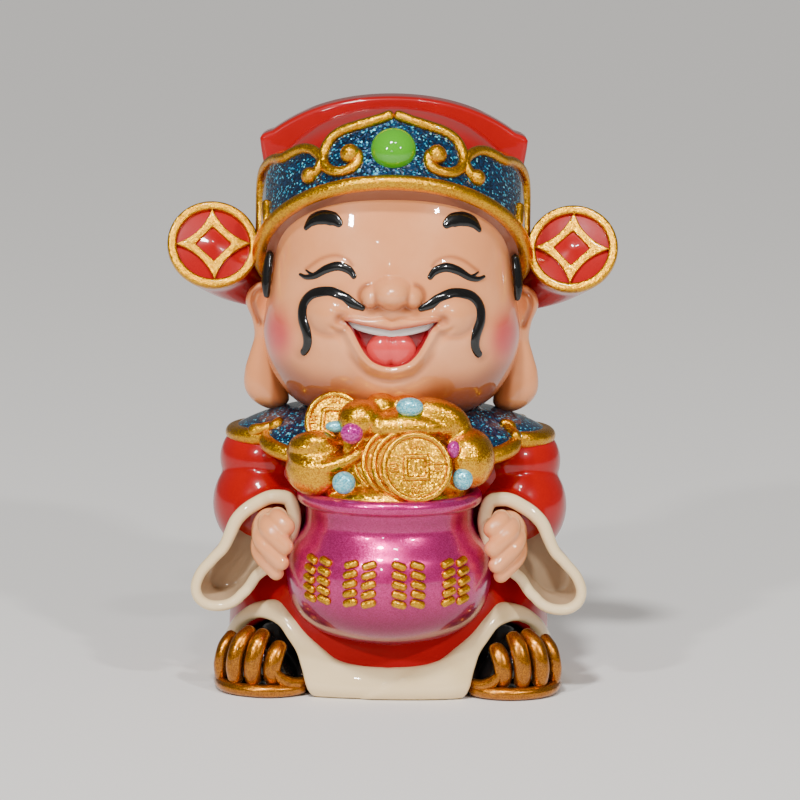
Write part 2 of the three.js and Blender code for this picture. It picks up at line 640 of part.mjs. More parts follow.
/** The collar's surface from the neck, at 0, to the edge of its lobes, at 1. */
function onCollar(angle, across, lift) {
  const scallop = abs(cos((angle * lobes) / 2)) ** 0.55;
  const reach = (ovalReach(angle, [28, 19.5, 17.5], 2.3) * (0.84 + 0.16 * scallop) - 12) * across + 12;
  const fall = 4.4 + 3.4 * cos(angle) ** 2;
  const drop = fall * Math.min(across, 1) ** 1.7 * (0.8 + 0.2 * scallop);
  return at(reach * sin(angle), axisY - reach * cos(angle), 47 - drop).add(new THREE.Vector3(0, 0, lift));
}

function collar() {
  const thin = collarThickness / 2;
  const roll = collarRollThickness / 2;
  const profile = [[0.35, -thin], [0.98, -roll], [1, roll], [0.9, thin], [0.35, thin], [0.35, -thin]];
  return turned(profile, 4 * lobes, (angle, along, outwards) => onCollar(angle, outwards, along));
}

/** Everything joined, cut off flat at the floor and set with its middle over the origin. */
function figure() {
  const pieces = [
    withMouth(headBall()), faceCarving(), onBothSides(ear()), hatDome(), hatPanel(), hatScrolls(), hatGem(),
    rearCrown(), onBothSides(wing()), robe(), collar(), onBothSides(shoe()), onBothSides(sleeve()),
    pot(), strokes(), onBothSides(hand()), treasure(),
  ];
  const wide = 4 * figureHeight;
  const floor = new THREE.BoxGeometry(wide, wide, figureHeight).translate(0, 0, -figureHeight / 2);
  const geometry = geometryOf(joined(pieces).subtract(solid(floor)));
  geometry.computeBoundingBox();
  const middle = geometry.boundingBox.getCenter(new THREE.Vector3());
  return geometry.translate(-middle.x, -middle.y, 0);
}

const paintedResin = new THREE.MeshStandardMaterial({ color: 0xc40f16, roughness: 0.25, metalness: 0 });
const figureMesh = new THREE.Mesh(figure(), paintedResin);
figureMesh.name = "caishen_figure";

const model = new THREE.Group();
model.add(figureMesh);

export default model;
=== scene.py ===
import math

import bmesh
import bpy
import numpy as np
from mathutils import Matrix, Vector


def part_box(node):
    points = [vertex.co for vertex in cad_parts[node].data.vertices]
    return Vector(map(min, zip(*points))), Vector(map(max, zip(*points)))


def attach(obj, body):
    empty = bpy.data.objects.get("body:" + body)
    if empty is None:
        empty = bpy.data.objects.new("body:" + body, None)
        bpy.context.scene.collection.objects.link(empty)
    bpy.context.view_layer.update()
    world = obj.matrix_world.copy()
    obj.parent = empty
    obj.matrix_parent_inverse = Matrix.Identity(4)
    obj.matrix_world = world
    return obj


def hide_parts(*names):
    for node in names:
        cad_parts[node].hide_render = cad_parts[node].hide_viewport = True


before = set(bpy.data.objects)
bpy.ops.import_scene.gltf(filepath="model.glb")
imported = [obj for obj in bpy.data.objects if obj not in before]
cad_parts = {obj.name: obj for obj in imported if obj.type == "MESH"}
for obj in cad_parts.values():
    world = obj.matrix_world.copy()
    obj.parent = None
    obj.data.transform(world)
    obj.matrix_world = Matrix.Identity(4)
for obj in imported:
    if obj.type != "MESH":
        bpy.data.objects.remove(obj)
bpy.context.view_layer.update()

# Head. The bald, full-cheeked head of the casting, in skin paint under clear lacquer. It is a ball pulled to
# the head's outline, with nose, cheeks, lips and open mouth pressed into its front. Places are in parts, of
# which the figure's height has 100.5, from the floor under the figure's middle.
figure_low, figure_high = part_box("caishen_figure")
parts_in_height = 100.5
parts_in_front = 34
part = (figure_high.z - figure_low.z) / parts_in_height
figure_y = figure_low.y + parts_in_front * part
axis_y = -1
head_power = 2.25
head_rows = [
    (43.5, 0, 0, 0),
    (46.5, 13.2, 10, 10),
    (50, 18.2, 16, 14),
    (55, 21.2, 19.3, 16.5),
    (60, 22.2, 20.6, 18),
    (65, 21.8, 20.3, 18),
    (70, 20.8, 19.5, 17),
    (75, 20.2, 18.7, 17),
    (80, 19.8, 17.6, 17),
    (86, 18.2, 15.4, 16),
    (92, 13, 10.5, 12),
    (96, 0, 0, 0),
]
mouth_corner = 8.1
upper_lip_line = [(0, 63), (1.9, 63.3), (3.8, 63.6), (5.8, 64), (mouth_corner, 64.6)]
upper_lip_top = [(0, 64.7), (1.4, 65.1), (3.4, 64.9), (5.8, 65), (mouth_corner, 65)]
lower_lip_line = [
    (0, 56.7), (1.4, 56.9), (2.9, 57.5), (3.9, 58.4), (4.8, 59.6), (5.8, 61.4), (6.7, 63),
    (mouth_corner, 64.6),
]
lid_crease_line = [(14.5, 72.5), (12, 74.4), (9.6, 75.1), (7.5, 74.5), (6.7, 73.6)]
moustache_line = [
    (4.4, 66.4), (6.7, 67.4), (8.7, 68.7), (10.6, 69.2), (13, 68.6), (14.7, 66.9), (15, 64.5),
    (14.4, 62.4), (14.1, 60.7), (14.4, 59.2), (15.2, 58.2),
]
mouth_depth = 2.6
lip_relief = 0.95
lip_end = mouth_corner + 0.5
lid_crease_depth = 0.28
apple_groove_depth = 0.12
apple_radius = 3.6
smile_hollow = (8.7, 64.6)
smile_hollow_depth = 0.9
chin_groove_depth = 0.4
chin_groove_drop = 2.3
nostril = (2.1, 67.1)
nostril_depth = 0.5

# Mounds of the face, each with its (middle, half-sizes, height, power)
eyelid = ((11, 72.6), (6, 3.4), 0.7, 2)
chin = ((0, 52.4), (8, 3), 0.9, 1.5)
nose_bridge = ((0, 73.5), (3.4, 5), 0.7, 1.5)
lip_foot = ((0, 66.6), (5, 2.4), 0.7, 1.5)
cheek = ((12.5, 65), (7.5, 8), 0.6, 1.5)
cheek_apple = ((10.7, 65.6), (3.9, 3.7), 2.1, 0.8)
nose_tip = ((0, 69.2), (3.5, 2.8), 4.6, 0.5)
nose_wing = ((3.5, 68.5), (1.75, 1.9), 2.7, 0.5)


def eased(t):
    """A smooth step from 0 to 1."""
    t = np.clip(t, 0, 1)
    return t * t * (3 - 2 * t)


def fade(distance, reach):
    """1 at no distance, falling smoothly away over a reach."""
    return np.exp(-((distance / reach) ** 2))


def spot_fade(x, z, middle, reach):
    """1 at a place on the face, falling smoothly away round it."""
    return np.exp(-(((x - middle[0]) / reach[0]) ** 2) - ((z - middle[1]) / reach[1]) ** 2)


def smooth_through(rows):
    """A smooth run through rows of (place, value, ...). It gives a column of values for each place."""
    rows = np.array(rows, float)
    places, values = rows[:, 0], rows[:, 1:]
    slopes = np.gradient(values, axis=0) / np.gradient(places)[:, None]

    def values_at(place):
        place = np.clip(place, places[0], places[-1])
        i = np.clip(np.searchsorted(places, place, side="right") - 1, 0, len(places) - 2)
        span = (places[i + 1] - places[i])[..., None]
        t = (place - places[i])[..., None] / span
        rise = values[i] + eased(t) * (values[i + 1] - values[i])
        leave = t * (1 - t) ** 2 * span * slopes[i]
        return (rise + leave - t**2 * (1 - t) * span * slopes[i + 1]).T

    return values_at


def outline_through(rows):
    """Half-widths through their squares, so that a row of noughts closes the form with a round end."""
    squares = smooth_through([(row[0], *(size * size for size in row[1:])) for row in rows])
    return lambda place: np.sqrt(np.maximum(squares(place), 0))


def oval_reach(turn, side, front, back, power):
    """How far an oval's edge is from its middle. Turn is 0 at the front and grows towards +X."""
    deep = np.where(np.cos(turn) > 0, front, back)
    across = (np.abs(np.sin(turn)) / np.maximum(side, 1e-4)) ** power
    along = (np.abs(np.cos(turn)) / np.maximum(deep, 1e-4)) ** power
    return (across + along) ** (-1 / power)


def rings_up(height):
    """How far up its rings a point of a ball is, from 0 at the foot to 1 at the top."""
    return np.arccos(-height) / math.pi


def along_rows(rows, share):
    """The place that is so far along a form's rows."""
    return rows[0][0] + (rows[-1][0] - rows[0][0]) * share


def points_of(mesh):
    """The x, y and z of a mesh's points."""
    points = np.empty(len(mesh.vertices) * 3, np.float32)
    mesh.vertices.foreach_get("co", points)
    return points.reshape(-1, 3).astype(float).T


def mesh_of(shape):
    """Turns a bmesh into a mesh."""
    mesh = bpy.data.meshes.new("shape")
    shape.to_mesh(mesh)
    shape.free()
    return mesh


def pulled(shape, place):
    """Turns a bmesh into a mesh with each of its points moved to place(x, y, z)."""
    mesh = mesh_of(shape)
    moved = np.column_stack(np.broadcast_arrays(*place(*points_of(mesh))))
    mesh.vertices.foreach_set("co", moved.astype(np.float32).ravel())
    mesh.update()
    return mesh


def ball(sides, rings, place):
    """A closed round mesh. Each point of a ball goes to place(turn, height), with height from -1 to 1."""
    shape = bmesh.new()
    bmesh.ops.create_uvsphere(shape, u_segments=sides, v_segments=rings, radius=1)
    return pulled(shape, lambda x, y, z: place(np.arctan2(x, -y), np.clip(z, -1, 1)))


def smooth_line(spots, count):
    """So many evenly spaced points along a smooth line through spots."""
    spots = np.array(spots, float)
    ends = np.vstack([2 * spots[0] - spots[1], spots, 2 * spots[-1] - spots[-2]])
    place = np.linspace(0, len(spots) - 1, 30 * len(spots))
    i = np.clip(place.astype(int), 0, len(spots) - 2)
    t = (place - i)[:, None]
    a, b, c, d = (ends[i + k] for k in range(4))
    curve = (2 * a - 5 * b + 4 * c - d) * t**2 + (3 * b - a - 3 * c + d) * t**3
    fine = 0.5 * (2 * b + (c - a) * t + curve)
    far = np.concatenate([[0], np.cumsum(np.linalg.norm(np.diff(fine, axis=0), axis=1))])
    even = np.linspace(0, far[-1], count)
    return np.column_stack([np.interp(even, far, column) for column in fine.T])


def line_distance(x, z, spots):
    """How far places on the face are from a smooth line on its +X side."""
    line = smooth_line(spots, 40)
    nearest = np.full(x.shape, 99.0)
    for (ax, az), (bx, bz) in zip(line, line[1:]):
        dx, dz = bx - ax, bz - az
        t = np.clip(((x - ax) * dx + (z - az) * dz) / (dx * dx + dz * dz), 0, 1)
        nearest = np.minimum(nearest, np.hypot(x - ax - t * dx, z - az - t * dz))
    return nearest


def mouth_edge(x, z):
    """How far a place is outside the open mouth's edge. It is negative inside."""
    high = np.interp(x, *np.array(upper_lip_line).T)
    low = np.interp(x, *smooth_line(lower_lip_line, 60).T)
    inside = (z < high) & (z > low) & (x < mouth_corner)
    far = np.minimum(line_distance(x, z, upper_lip_line), line_distance(x, z, lower_lip_line))
    return np.where(inside, -far, far)


def mound(x, z, middle, reach, height, power):
    """A raised oval: a half-ball with power 0.5, and softer with a higher one."""
    inside = 1 - ((x - middle[0]) / reach[0]) ** 2 - ((z - middle[1]) / reach[1]) ** 2
    return height * np.maximum(inside, 0) ** power


def blended(a, b, soft):
    """The higher of two reliefs, with a soft seam."""
    near = np.maximum(soft - np.abs(a - b), 0) / soft
    return np.maximum(a, b) + near * near * soft / 4


def face_carving(x, z):
    """How far the carving stands out of the smooth head, seen from the front."""
    x = np.abs(x)
    edge = mouth_edge(x, z)
    relief = sum(mound(x, z, *form) for form in (eyelid, chin, nose_bridge, lip_foot, cheek))
    relief -= lid_crease_depth * fade(line_distance(x, z, lid_crease_line), 0.38)
    apple_x, apple_z = cheek_apple[0]
    from_apple = np.hypot(x - apple_x, (z - apple_z) * 1.02)
    lower_side = eased((apple_z + 1 - z) / 2.5)
    relief -= apple_groove_depth * lower_side * fade(from_apple - apple_radius, 0.7)
    relief = blended(relief, mound(x, z, *cheek_apple), 0.9)
    relief -= smile_hollow_depth * spot_fade(x, z, smile_hollow, (0.8, 0.9))
    lip_low = np.interp(x, *np.array(upper_lip_line).T)
    lip_high = np.interp(x, *smooth_line(upper_lip_top, 30).T)
    in_lip = (2 * z - lip_low - lip_high) / (lip_high - lip_low + 0.2)
    upper_lip = lip_relief * np.sqrt(np.maximum(1 - in_lip**2, 0)) * eased((lip_end - x) / 1.5)
    lower_lip = lip_relief * fade(edge - 0.75, 0.75) - chin_groove_depth * fade(edge - chin_groove_drop, 0.55)
    relief += upper_lip + eased((lip_low - 0.4 - z) / 1.5) * lower_lip
    nose = blended(mound(x, z, *nose_tip), mound(x, z, *nose_wing), 0.5)
    nose -= nostril_depth * spot_fade(x, z, nostril, (0.7, 0.5))
    relief = blended(relief, nose, 0.7)
    return relief - mouth_depth * eased(-edge / 0.5)


head_at = outline_through(head_rows)
front_crowding = 0.55
ring_crowding = 0.5
mouth_share = 0.37


def smooth_face_y(x, z):
    """Where the smooth head's front is behind a place on the face."""
    side, front, _ = head_at(z)
    share = np.clip(np.abs(x) / np.maximum(side, 1e-4), 0, 1)
    return axis_y - front * (1 - share**head_power) ** (1 / head_power)


def head_place(turn, height):
    """Columns stand closest at the front, and rings at the mouth."""
    turn = turn - front_crowding * np.sin(turn)
    share = rings_up(height)
    full, dense = 2 * math.pi, 2 * math.pi * mouth_share
    share = share - ring_crowding * (np.sin(full * share - dense) + math.sin(dense)) / full
    z = along_rows(head_rows, share)
    reach = oval_reach(turn, *head_at(z), head_power)
    x, y = reach * np.sin(turn), axis_y - reach * np.cos(turn)
    return x, y - face_carving(x, z) * eased(np.cos(turn) * 3), z


def shared_effect(name, numbers, puts_out):
    """An empty node group with named number inputs and outputs."""
    group = bpy.data.node_groups.new(name, "ShaderNodeTree")
    for label, value in numbers.items():
        entry = group.interface.new_socket(name=label, in_out="INPUT", socket_type="NodeSocketFloat")
        entry.default_value = value
    for label, kind in puts_out.items():
        group.interface.new_socket(name=label, in_out="OUTPUT", socket_type=kind)
    return group, group.nodes.new("NodeGroupInput"), group.nodes.new("NodeGroupOutput")


def fed(tree, node, inputs):
    """A shader node with its inputs set, each linked to a socket or given a plain value."""
    for label, value in inputs.items():
        if isinstance(value, bpy.types.NodeSocket):
            tree.links.new(value, node.inputs[label])
        else:
            node.inputs[label].default_value = value
    return node


def new_node(tree, kind, inputs, **settings):
    """A new shader node with its settings made and its inputs fed."""
    node = tree.nodes.new("ShaderNode" + kind)
    for name, value in settings.items():
        setattr(node, name, value)
    return fed(tree, node, inputs)


def own_coordinates(tree):
    """The place on the piece itself, in metres."""
    return new_node(tree, "TexCoord", {}).outputs["Object"]


def noise(tree, scale, detail):
    """Noise over the piece, in waves per metre."""
    inputs = {"Vector": own_coordinates(tree), "Scale": scale, "Detail": detail}
    return new_node(tree, "TexNoise", inputs).outputs["Fac"]


def mapped(tree, value, low, high, to_low=0.0, to_high=1.0):
    """A value smoothly mapped from one range to another."""
    inputs = {"Value": value, "From Min": low, "From Max": high, "To Min": to_low, "To Max": to_high}
    return new_node(tree, "MapRange", inputs, interpolation_type="SMOOTHSTEP").outputs["Result"]


def mixed(tree, mask, first, second):
    """The first colour where the mask is 0, the second where it is 1. Each is a socket or a plain colour."""
    first, second = ((*colour, 1) if isinstance(colour, tuple) else colour for colour in (first, second))
    return new_node(tree, "Mix", {0: mask, 6: first, 7: second}, data_type="RGBA").outputs[2]


# The lacquer never dries quite level, and the paint under it is a little uneven
lacquer, lacquer_in, lacquer_out = shared_effect(
    "brushed_lacquer", {"Waviness": 0.2}, {"Normal": "NodeSocketVector", "Unevenness": "NodeSocketFloat"}
)
lacquer_wave_height = 0.0004
lacquer_waves_per_metre = 190
lacquer_spots_per_metre = 90
lacquer_bump = new_node(lacquer, "Bump", {
    "Distance": lacquer_wave_height, "Strength": lacquer_in.outputs["Waviness"],
    "Height": noise(lacquer, lacquer_waves_per_metre, 3.0),
})
lacquer_spots = noise(lacquer, lacquer_spots_per_metre, 5.0)
fed(lacquer, lacquer_out, {"Normal": lacquer_bump.outputs["Normal"], "Unevenness": lacquer_spots})


def lacquered(name, effect_group, numbers, roughness, metallic, coat):
    """A paint under clear lacquer: its material, its node tree, its Base Color and its effect."""
    paint = bpy.data.materials.new(name)
    paint.use_nodes = True
    tree = paint.node_tree
    effect = new_node(tree, "Group", numbers, node_tree=effect_group)
    shader = fed(tree, tree.nodes["Principled BSDF"], {
        "Roughness": roughness, "Metallic": metallic, "Coat Weight": coat, "Coat Roughness": 0.03,
        "Coat IOR": 1.5, "Specular IOR Level": 0.12, "Normal": effect.outputs["Normal"],
    })
    return paint, tree, shader.inputs["Base Color"], effect


def enamel(name, colour, thin_colour, roughness=0.3, waviness=0.2, coat=1.0, thin_from=0.45):
    """A plain gloss paint, a little thinner here and there."""
    paint, tree, base, effect = lacquered(name, lacquer, {"Waviness": waviness}, roughness, 0.0, coat)
    thin = mapped(tree, effect.outputs["Unevenness"], thin_from, thin_from + 0.3)
    tree.links.new(mixed(tree, thin, colour, thin_colour), base)
    return paint


def overlaid(paint, mask, colour):
    """Lays a colour over a paint, as far as the mask says."""
    base = paint.node_tree.nodes["Principled BSDF"].inputs["Base Color"]
    paint.node_tree.links.new(mixed(paint.node_tree, mask, base.links[0].from_socket, colour), base)


def in_scene(name, content):
    """A new object in the scene, from a mesh, a light or a camera."""
    thing = bpy.data.objects.new(name, content)
    bpy.context.scene.collection.objects.link(thing)
    return thing


def finished(name, meshes, paint, sharp=None):
    """Joins meshes into one piece, sets it in its place on the figure and paints it."""
    whole = bmesh.new()
    for mesh in meshes:
        whole.from_mesh(mesh)
    bmesh.ops.recalc_face_normals(whole, faces=whole.faces)
    mesh = meshes[0]
    whole.to_mesh(mesh)
    whole.free()
    mesh.name = name
    mesh.transform(Matrix.Translation((0, figure_y, 0)) @ Matrix.Scale(part, 4))
    mesh.shade_smooth()
    if sharp:
        mesh.set_sharp_from_angle(angle=math.radians(sharp))
    mesh.materials.append(paint)
    piece = in_scene(name, mesh)
    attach(piece, "root")
    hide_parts("caishen_figure")
    return piece


def add_mask(mesh, name, values):
    """Keeps a number for each point of a mesh, which its paint reads."""
    mesh.attributes.new(name, "FLOAT", "POINT").data.foreach_set("value", values.astype(np.float32))


def masked(paint, name, none, full, amount=1.0):
    """Where the mesh's named number goes from none of the colour to the full amount."""
    value = new_node(paint.node_tree, "Attribute", {}, attribute_name=name).outputs["Fac"]
    return mapped(paint.node_tree, value, none, full, 0, amount)


head_mesh = ball(328, 210, head_place)
head_x, head_y, head_z = points_of(head_mesh)
head_x = np.abs(head_x)
in_front = eased((axis_y - head_y) / 6)
far_outside = 9.0
mouth_front_y = -12
hair_front_y = 4
blush_middle = (19.6, 61)
from_mouth = mouth_edge(head_x, head_z)
from_moustache = line_distance(head_x, head_z, moustache_line)
from_lid = line_distance(head_x, head_z, lid_crease_line)
from_apple_edge = np.hypot(head_x - 10.6, head_z - 65.4) - apple_radius
from_wing_edge = np.hypot((head_x - 3.4) / 1.05, head_z - 68.6) - 2
# Painted shade on the skin: it darkens towards the jaw's sides, warm there like a painted reflection of the
# gold heap, at the temples, and in the creases and hollows round the features, where shade falls. The
# eyelid's crease is also a brown line of the figure's own paint.
jaw_shade_top = 58 + 3 * eased((head_x - 12) / 8)
painted_face_shade = eased((jaw_shade_top - head_z) / 7.5) * (0.25 + 0.75 * eased((head_x - 2.5) / 7))
shades = {
    "round the moustache": 0.45 * fade(from_moustache, 1.5),
    "crease of the eyelid": 0.6 * fade(from_lid, 0.42),
    "under the apple of the cheek": 0.45 * fade(from_apple_edge, 0.9) * eased((66.5 - head_z) / 2),
    "corner of the smile": 0.7 * spot_fade(head_x, head_z, (8.4, 64.9), (1.5, 1.5)),
    "under the nose": 0.75 * spot_fade(head_x, head_z, (2.4, 66.7), (2.8, 0.9)),
    "round the nose's wing": 0.75 * fade(from_wing_edge, 0.5) * eased(head_x - 3),
    "beside the nose's tip": 0.55 * spot_fade(head_x, head_z, (2.7, 68.3), (0.5, 1.3)),
    "under the lower lip": 0.5 * fade(from_mouth - chin_groove_drop, 0.8) * eased((61 - head_z) / 3),
    "temple": 0.5 * eased((head_x - 18.9) / 1.6) * eased((head_z - 62) / 6),
}
for shade in shades.values():
    painted_face_shade = np.maximum(painted_face_shade, shade * in_front)
from_lip = head_z - np.interp(head_x, *np.array(upper_lip_line).T) - 0.25
add_mask(head_mesh, "mouth", np.where(head_y < mouth_front_y, from_mouth, far_outside))
add_mask(head_mesh, "blush", in_front * spot_fade(head_x, head_z, blush_middle, (3.1, 4.6)))
add_mask(head_mesh, "painted_shade", painted_face_shade)
add_mask(head_mesh, "lip", in_front * fade(from_lip, 0.55) * eased((lip_end - head_x) / 1.5))
add_mask(head_mesh, "hair", head_y - hair_front_y)

# Each pair of colours is a paint's own and the one it has where it is thin, or where its flakes are dark
skin_colours = ((0.81, 0.30, 0.11), (0.87, 0.35, 0.15))
skin_shade_colour = (0.27, 0.05, 0.01)
blush_colour = (0.62, 0.045, 0.05)
lip_colour = (0.42, 0.06, 0.045)
mouth_red = (0.36, 0.002, 0.01)
mouth_dark = (0.22, 0.003, 0.008)
hair_black = (0.003, 0.0028, 0.0028)

skin = enamel("skin_lacquer", *skin_colours, roughness=0.34, waviness=0.14, thin_from=0.4)
# Over the skin paint go painted shade, blush, lip colour, the mouth's reds and the black hair
for colour, mask in (
    (skin_shade_colour, ("painted_shade", 0, 1, 0.85)),
    (blush_colour, ("blush", 0, 1, 0.95)),
    (lip_colour, ("lip", 0.2, 1, 0.6)),
    (mouth_red, ("mouth", 0.05, -0.05)),
    (mouth_dark, ("mouth", -0.55, -1.1)),
    (hair_black, ("hair", -0.05, 0.05)),
):
    overlaid(skin, masked(skin, *mask), colour)
finished("head", [head_mesh], skin)

# Painted face lines. Brows, eyes, moustache and sideburns are drawn in thick black lacquer that stands a
# little proud of the skin. Each is a closed strand laid along the face.
eye_line = [(6.1, 71.4), (7.2, 72.8), (9.1, 73.4), (11.1, 72.8), (13, 71.6), (14.5, 71.2), (15.7, 71.6)]
lash_line = [(12.6, 71.8), (13.6, 71.8), (14.6, 72.4)]
brow_line = [(14.9, 79), (13.5, 80.7), (11.6, 81.3), (9.8, 81), (8.5, 80)]
sideburn_line = [(20.9, -5, 74.4), (21.4, -5.4, 71.8), (21.6, -5.8, 69), (21.4, -6, 66.4)]


def face_spots(line):
    """Places on the carved face, and the way that each faces."""
    line = np.array(line, float)
    reach = 0.15

    def surface(x, z):
        return smooth_face_y(x, z) - face_carving(x, z)

    x, z = line.T
    y = surface(x, z)
    facing = np.column_stack([
        (surface(x + reach, z) - surface(x - reach, z)) / (2 * reach),
        np.full(len(x), -1.0),
        (surface(x, z + reach) - surface(x, z - reach)) / (2 * reach),
    ])
    return np.column_stack([x, y, z]), facing


def unit(vectors):
    return vectors / np.maximum(np.linalg.norm(vectors, axis=-1, keepdims=True), 1e-9)


def strand(spots, width, height, facing, sides=20, rings=90):
    """A closed strand along a smooth line. Width and height are half-sizes, or lists of them along it."""
    count = rings + 1
    path = smooth_line(spots, count)

    def spread(values):
        """Values along the strand, spread over its rings."""
        return np.interp(np.linspace(0, 1, count), np.linspace(0, 1, len(values)), values)

    facing = np.array(facing, float) * np.ones((len(spots), 3))
    up = np.column_stack([spread(column) for column in facing.T])
    along = unit(np.gradient(path, axis=0))
    side = unit(np.cross(along, up))
    up = unit(np.cross(side, along))
    length = np.linalg.norm(np.diff(path, axis=0), axis=1).sum()
    half_width, half_height = (spread(np.atleast_1d(np.array(half, float))) for half in (width, height))
    arc = np.linspace(0, length, count)
    from_start = np.clip(1 - arc / max(half_width[0], 0.05), 0, 1)
    from_end = np.clip(1 - (length - arc) / max(half_width[-1], 0.05), 0, 1)
    closing = np.sqrt(np.maximum((1 - from_start**2) * (1 - from_end**2), 0))

    def place(turn, height):
        i = np.rint(rings_up(height) * rings).astype(int)
        across = (half_width * closing)[i] * np.sin(turn)
        out = (half_height * closing)[i] * np.cos(turn)
        return (path[i] + side[i] * across[:, None] + up[i] * out[:, None]).T

    return ball(sides, rings, place)


def mirrored(mesh):
    other = mesh.copy()
    other.transform(Matrix.Scale(-1, 4, (1, 0, 0)))
    return other


def on_both_sides(meshes):
    return meshes + [mirrored(mesh) for mesh in meshes]


def drawn(line, width, height=0.42, rings=110):
    """A line of thick paint on the face, sunk a little into it."""
    spots, facing = face_spots(smooth_line(line, 24))
    return strand(spots - unit(facing) * 0.12, width, height, facing, 16, rings)


thin_black = (0.006, 0.005, 0.005)
black = enamel("black_lacquer", hair_black, thin_black, roughness=0.28)
finished("face_lines", on_both_sides([
    drawn(moustache_line, [0.45, 0.95, 1.15, 1.15, 1.1, 1.1, 1.05, 0.95, 0.6], 0.5),
    drawn(eye_line, [0.45, 0.75, 0.85, 0.8, 0.66, 0.5, 0.28], 0.4),
    drawn(lash_line, [0.4, 0.32, 0.16], 0.3, rings=40),
    drawn(brow_line, [0.4, 1.15, 1.35, 1.3, 0.55]),
    strand(sideburn_line, [0.7, 1, 0.95, 0.5], 0.6, (0.7, -1, 0), 20, 60),
]), black)

# Teeth and tongue. A white strip under the upper lip and a pink lump lie inside the hollow of the laughing
# mouth. The strip is a flattened strand, and the tongue a squashed ball with a groove.
teeth_behind = 1.35
tongue_behind = 2.2
tongue_middle_z = 59.4
tongue_sizes = (4.2, 1.9, 3.3)
tongue_groove_depth = 0.24
teeth_line = [
    (-7.3, 64.1), (-5.8, 63.5), (-3.9, 63.05), (-1.9, 62.75), (0, 62.65), (1.9, 62.75), (3.9, 63.05),
    (5.8, 63.5), (7.3, 64.1),
]
teeth_spots = [(x, smooth_face_y(x, z) + teeth_behind, z) for x, z in np.array(teeth_line)]


def lump(middle, sizes, sides=48, rings=32, carve=None):
    """A squashed ball. Carve, if given, moves each of its points by so much of its size."""
    middle, sizes = np.array(middle, float), np.array(sizes, float)

    def place(turn, height):
        across = np.sqrt(1 - height**2)
        points = np.column_stack([across * np.sin(turn), -across * np.cos(turn), height])
        if carve:
            points = points * carve(*points.T)[:, None]
        return (middle + points * sizes).T

    return ball(sides, rings, place)


teeth_colours = ((0.86, 0.83, 0.78), (0.80, 0.76, 0.70))
white = enamel("white_lacquer", *teeth_colours)
finished("teeth", [
    strand(teeth_spots, [0.35, 0.75, 0.85, 0.9, 0.95, 0.9, 0.85, 0.75, 0.35], 0.5, (0, -1, 0), 20, 120)
], white)

tongue_colours = ((0.72, 0.05, 0.05), (0.78, 0.08, 0.075))
tongue_paint = enamel("tongue_lacquer", *tongue_colours)
tongue_y = smooth_face_y(0.0, 59.2)[()] + tongue_behind


def tongue_groove(x, y, z):
    return 1 - tongue_groove_depth * fade(x, 0.13) * (y < 0)


finished("tongue", [
    lump((0, tongue_y, tongue_middle_z), tongue_sizes, carve=tongue_groove)
], tongue_paint)

# Ears. Long-lobed ears stand out from the head behind the sideburns, in the head's skin paint. Each is a ball
# pulled to the ear's outline, with the fold of its rim pressed in.
ear_rows = [
    (68.6, 22.6, 0, 0), (67, 23, 1.9, 2.2), (65, 22.9, 2.5, 2.7), (62, 22.4, 1.9, 2.3), (59, 22.2, 1.7, 2),
    (56, 22.4, 2.3, 2.4), (53, 22.4, 3.1, 2.9), (50, 21.8, 3.7, 3.2), (48, 21, 3.3, 3), (46.2, 20.4, 0, 0),
][::-1]
ear_sizes = outline_through([(z, wide, deep) for z, _, wide, deep in ear_rows])
ear_middle = smooth_through([(z, x) for z, x, _, _ in ear_rows])
ear_y = 1
ear_fold = [(22.3, 67.3), (23.6, 66.9), (24.1, 65.4), (23.6, 63.4), (22.9, 61.6)]
ear_hollow = ((22.2, 64.6), (1.5, 2.4), 1.1, 1)


def ear_place(turn, height):
    z = along_rows(ear_rows, rings_up(height))
    wide, deep = ear_sizes(z)
    x = ear_middle(z)[0] + wide * np.sin(turn)
    y = ear_y - deep * np.cos(turn)
    pressed = 0.7 * fade(line_distance(x, z, ear_fold), 0.45) + mound(x, z, *ear_hollow)
    return x, y + pressed * eased(np.cos(turn) * 2), z


ear_mesh = ball(72, 120, ear_place)
ear_x, ear_ys, ear_z = points_of(ear_mesh)
# Painted shade in the ear's fold, where the ear meets the head, and towards the foot of its lobe
fold_shade = 0.9 * fade(line_distance(ear_x, ear_z, ear_fold), 0.7) * (ear_ys < ear_y)
seam_shade = 0.7 * eased((21.6 - ear_x) / 1.5)
lobe_shade = 0.7 * eased((49 - ear_z) / 3)
add_mask(ear_mesh, "painted_shade", np.maximum(np.maximum(fold_shade, seam_shade), lobe_shade))
for label, value in (("mouth", far_outside), ("hair", -far_outside), ("blush", 0), ("lip", 0)):
    add_mask(ear_mesh, label, np.full(len(ear_x), value))
finished("ears", on_both_sides([ear_mesh]), skin)

# Hat. The official's hat is tilted back on the head: a red dome with a gold tube round its foot, and a brown
# lining that shows between the tube and the forehead. Places on it are in its own tilted frame.
hat_tilt = math.radians(35)
hat_height = 74.8
hat_radius = 23.2
hat_back_radius = hat_radius - 2.2
rim_half = 1.3
rim_height = 0.6
rim_dip = 1.2
lining_half = 0.8
dome_rows = [
    (-2.5, 0, 0), (-1, 21, 20), (2, 22.3, 21), (6, 22.3, 20.6), (12, 21.1, 17.6),
    (17, 17.9, 12.7), (21, 13.1, 7.7), (23.6, 6.8, 3.7), (24.5, 0, 0),
]
dome_lean = smooth_through([
    (-2.5, 0), (2, 0.4), (6, 1), (12, 2.1), (17, 3.2), (21, 4.1), (23.6, 4.6), (24.5, 4.7),
])
dome_at = outline_through(dome_rows)


def on_hat(x, ahead, up):
    """A place on the hat, in the figure's frame."""
    y = axis_y - ahead * math.cos(hat_tilt) + up * math.sin(hat_tilt)
    return x, y, hat_height + ahead * math.sin(hat_tilt) + up * math.cos(hat_tilt)


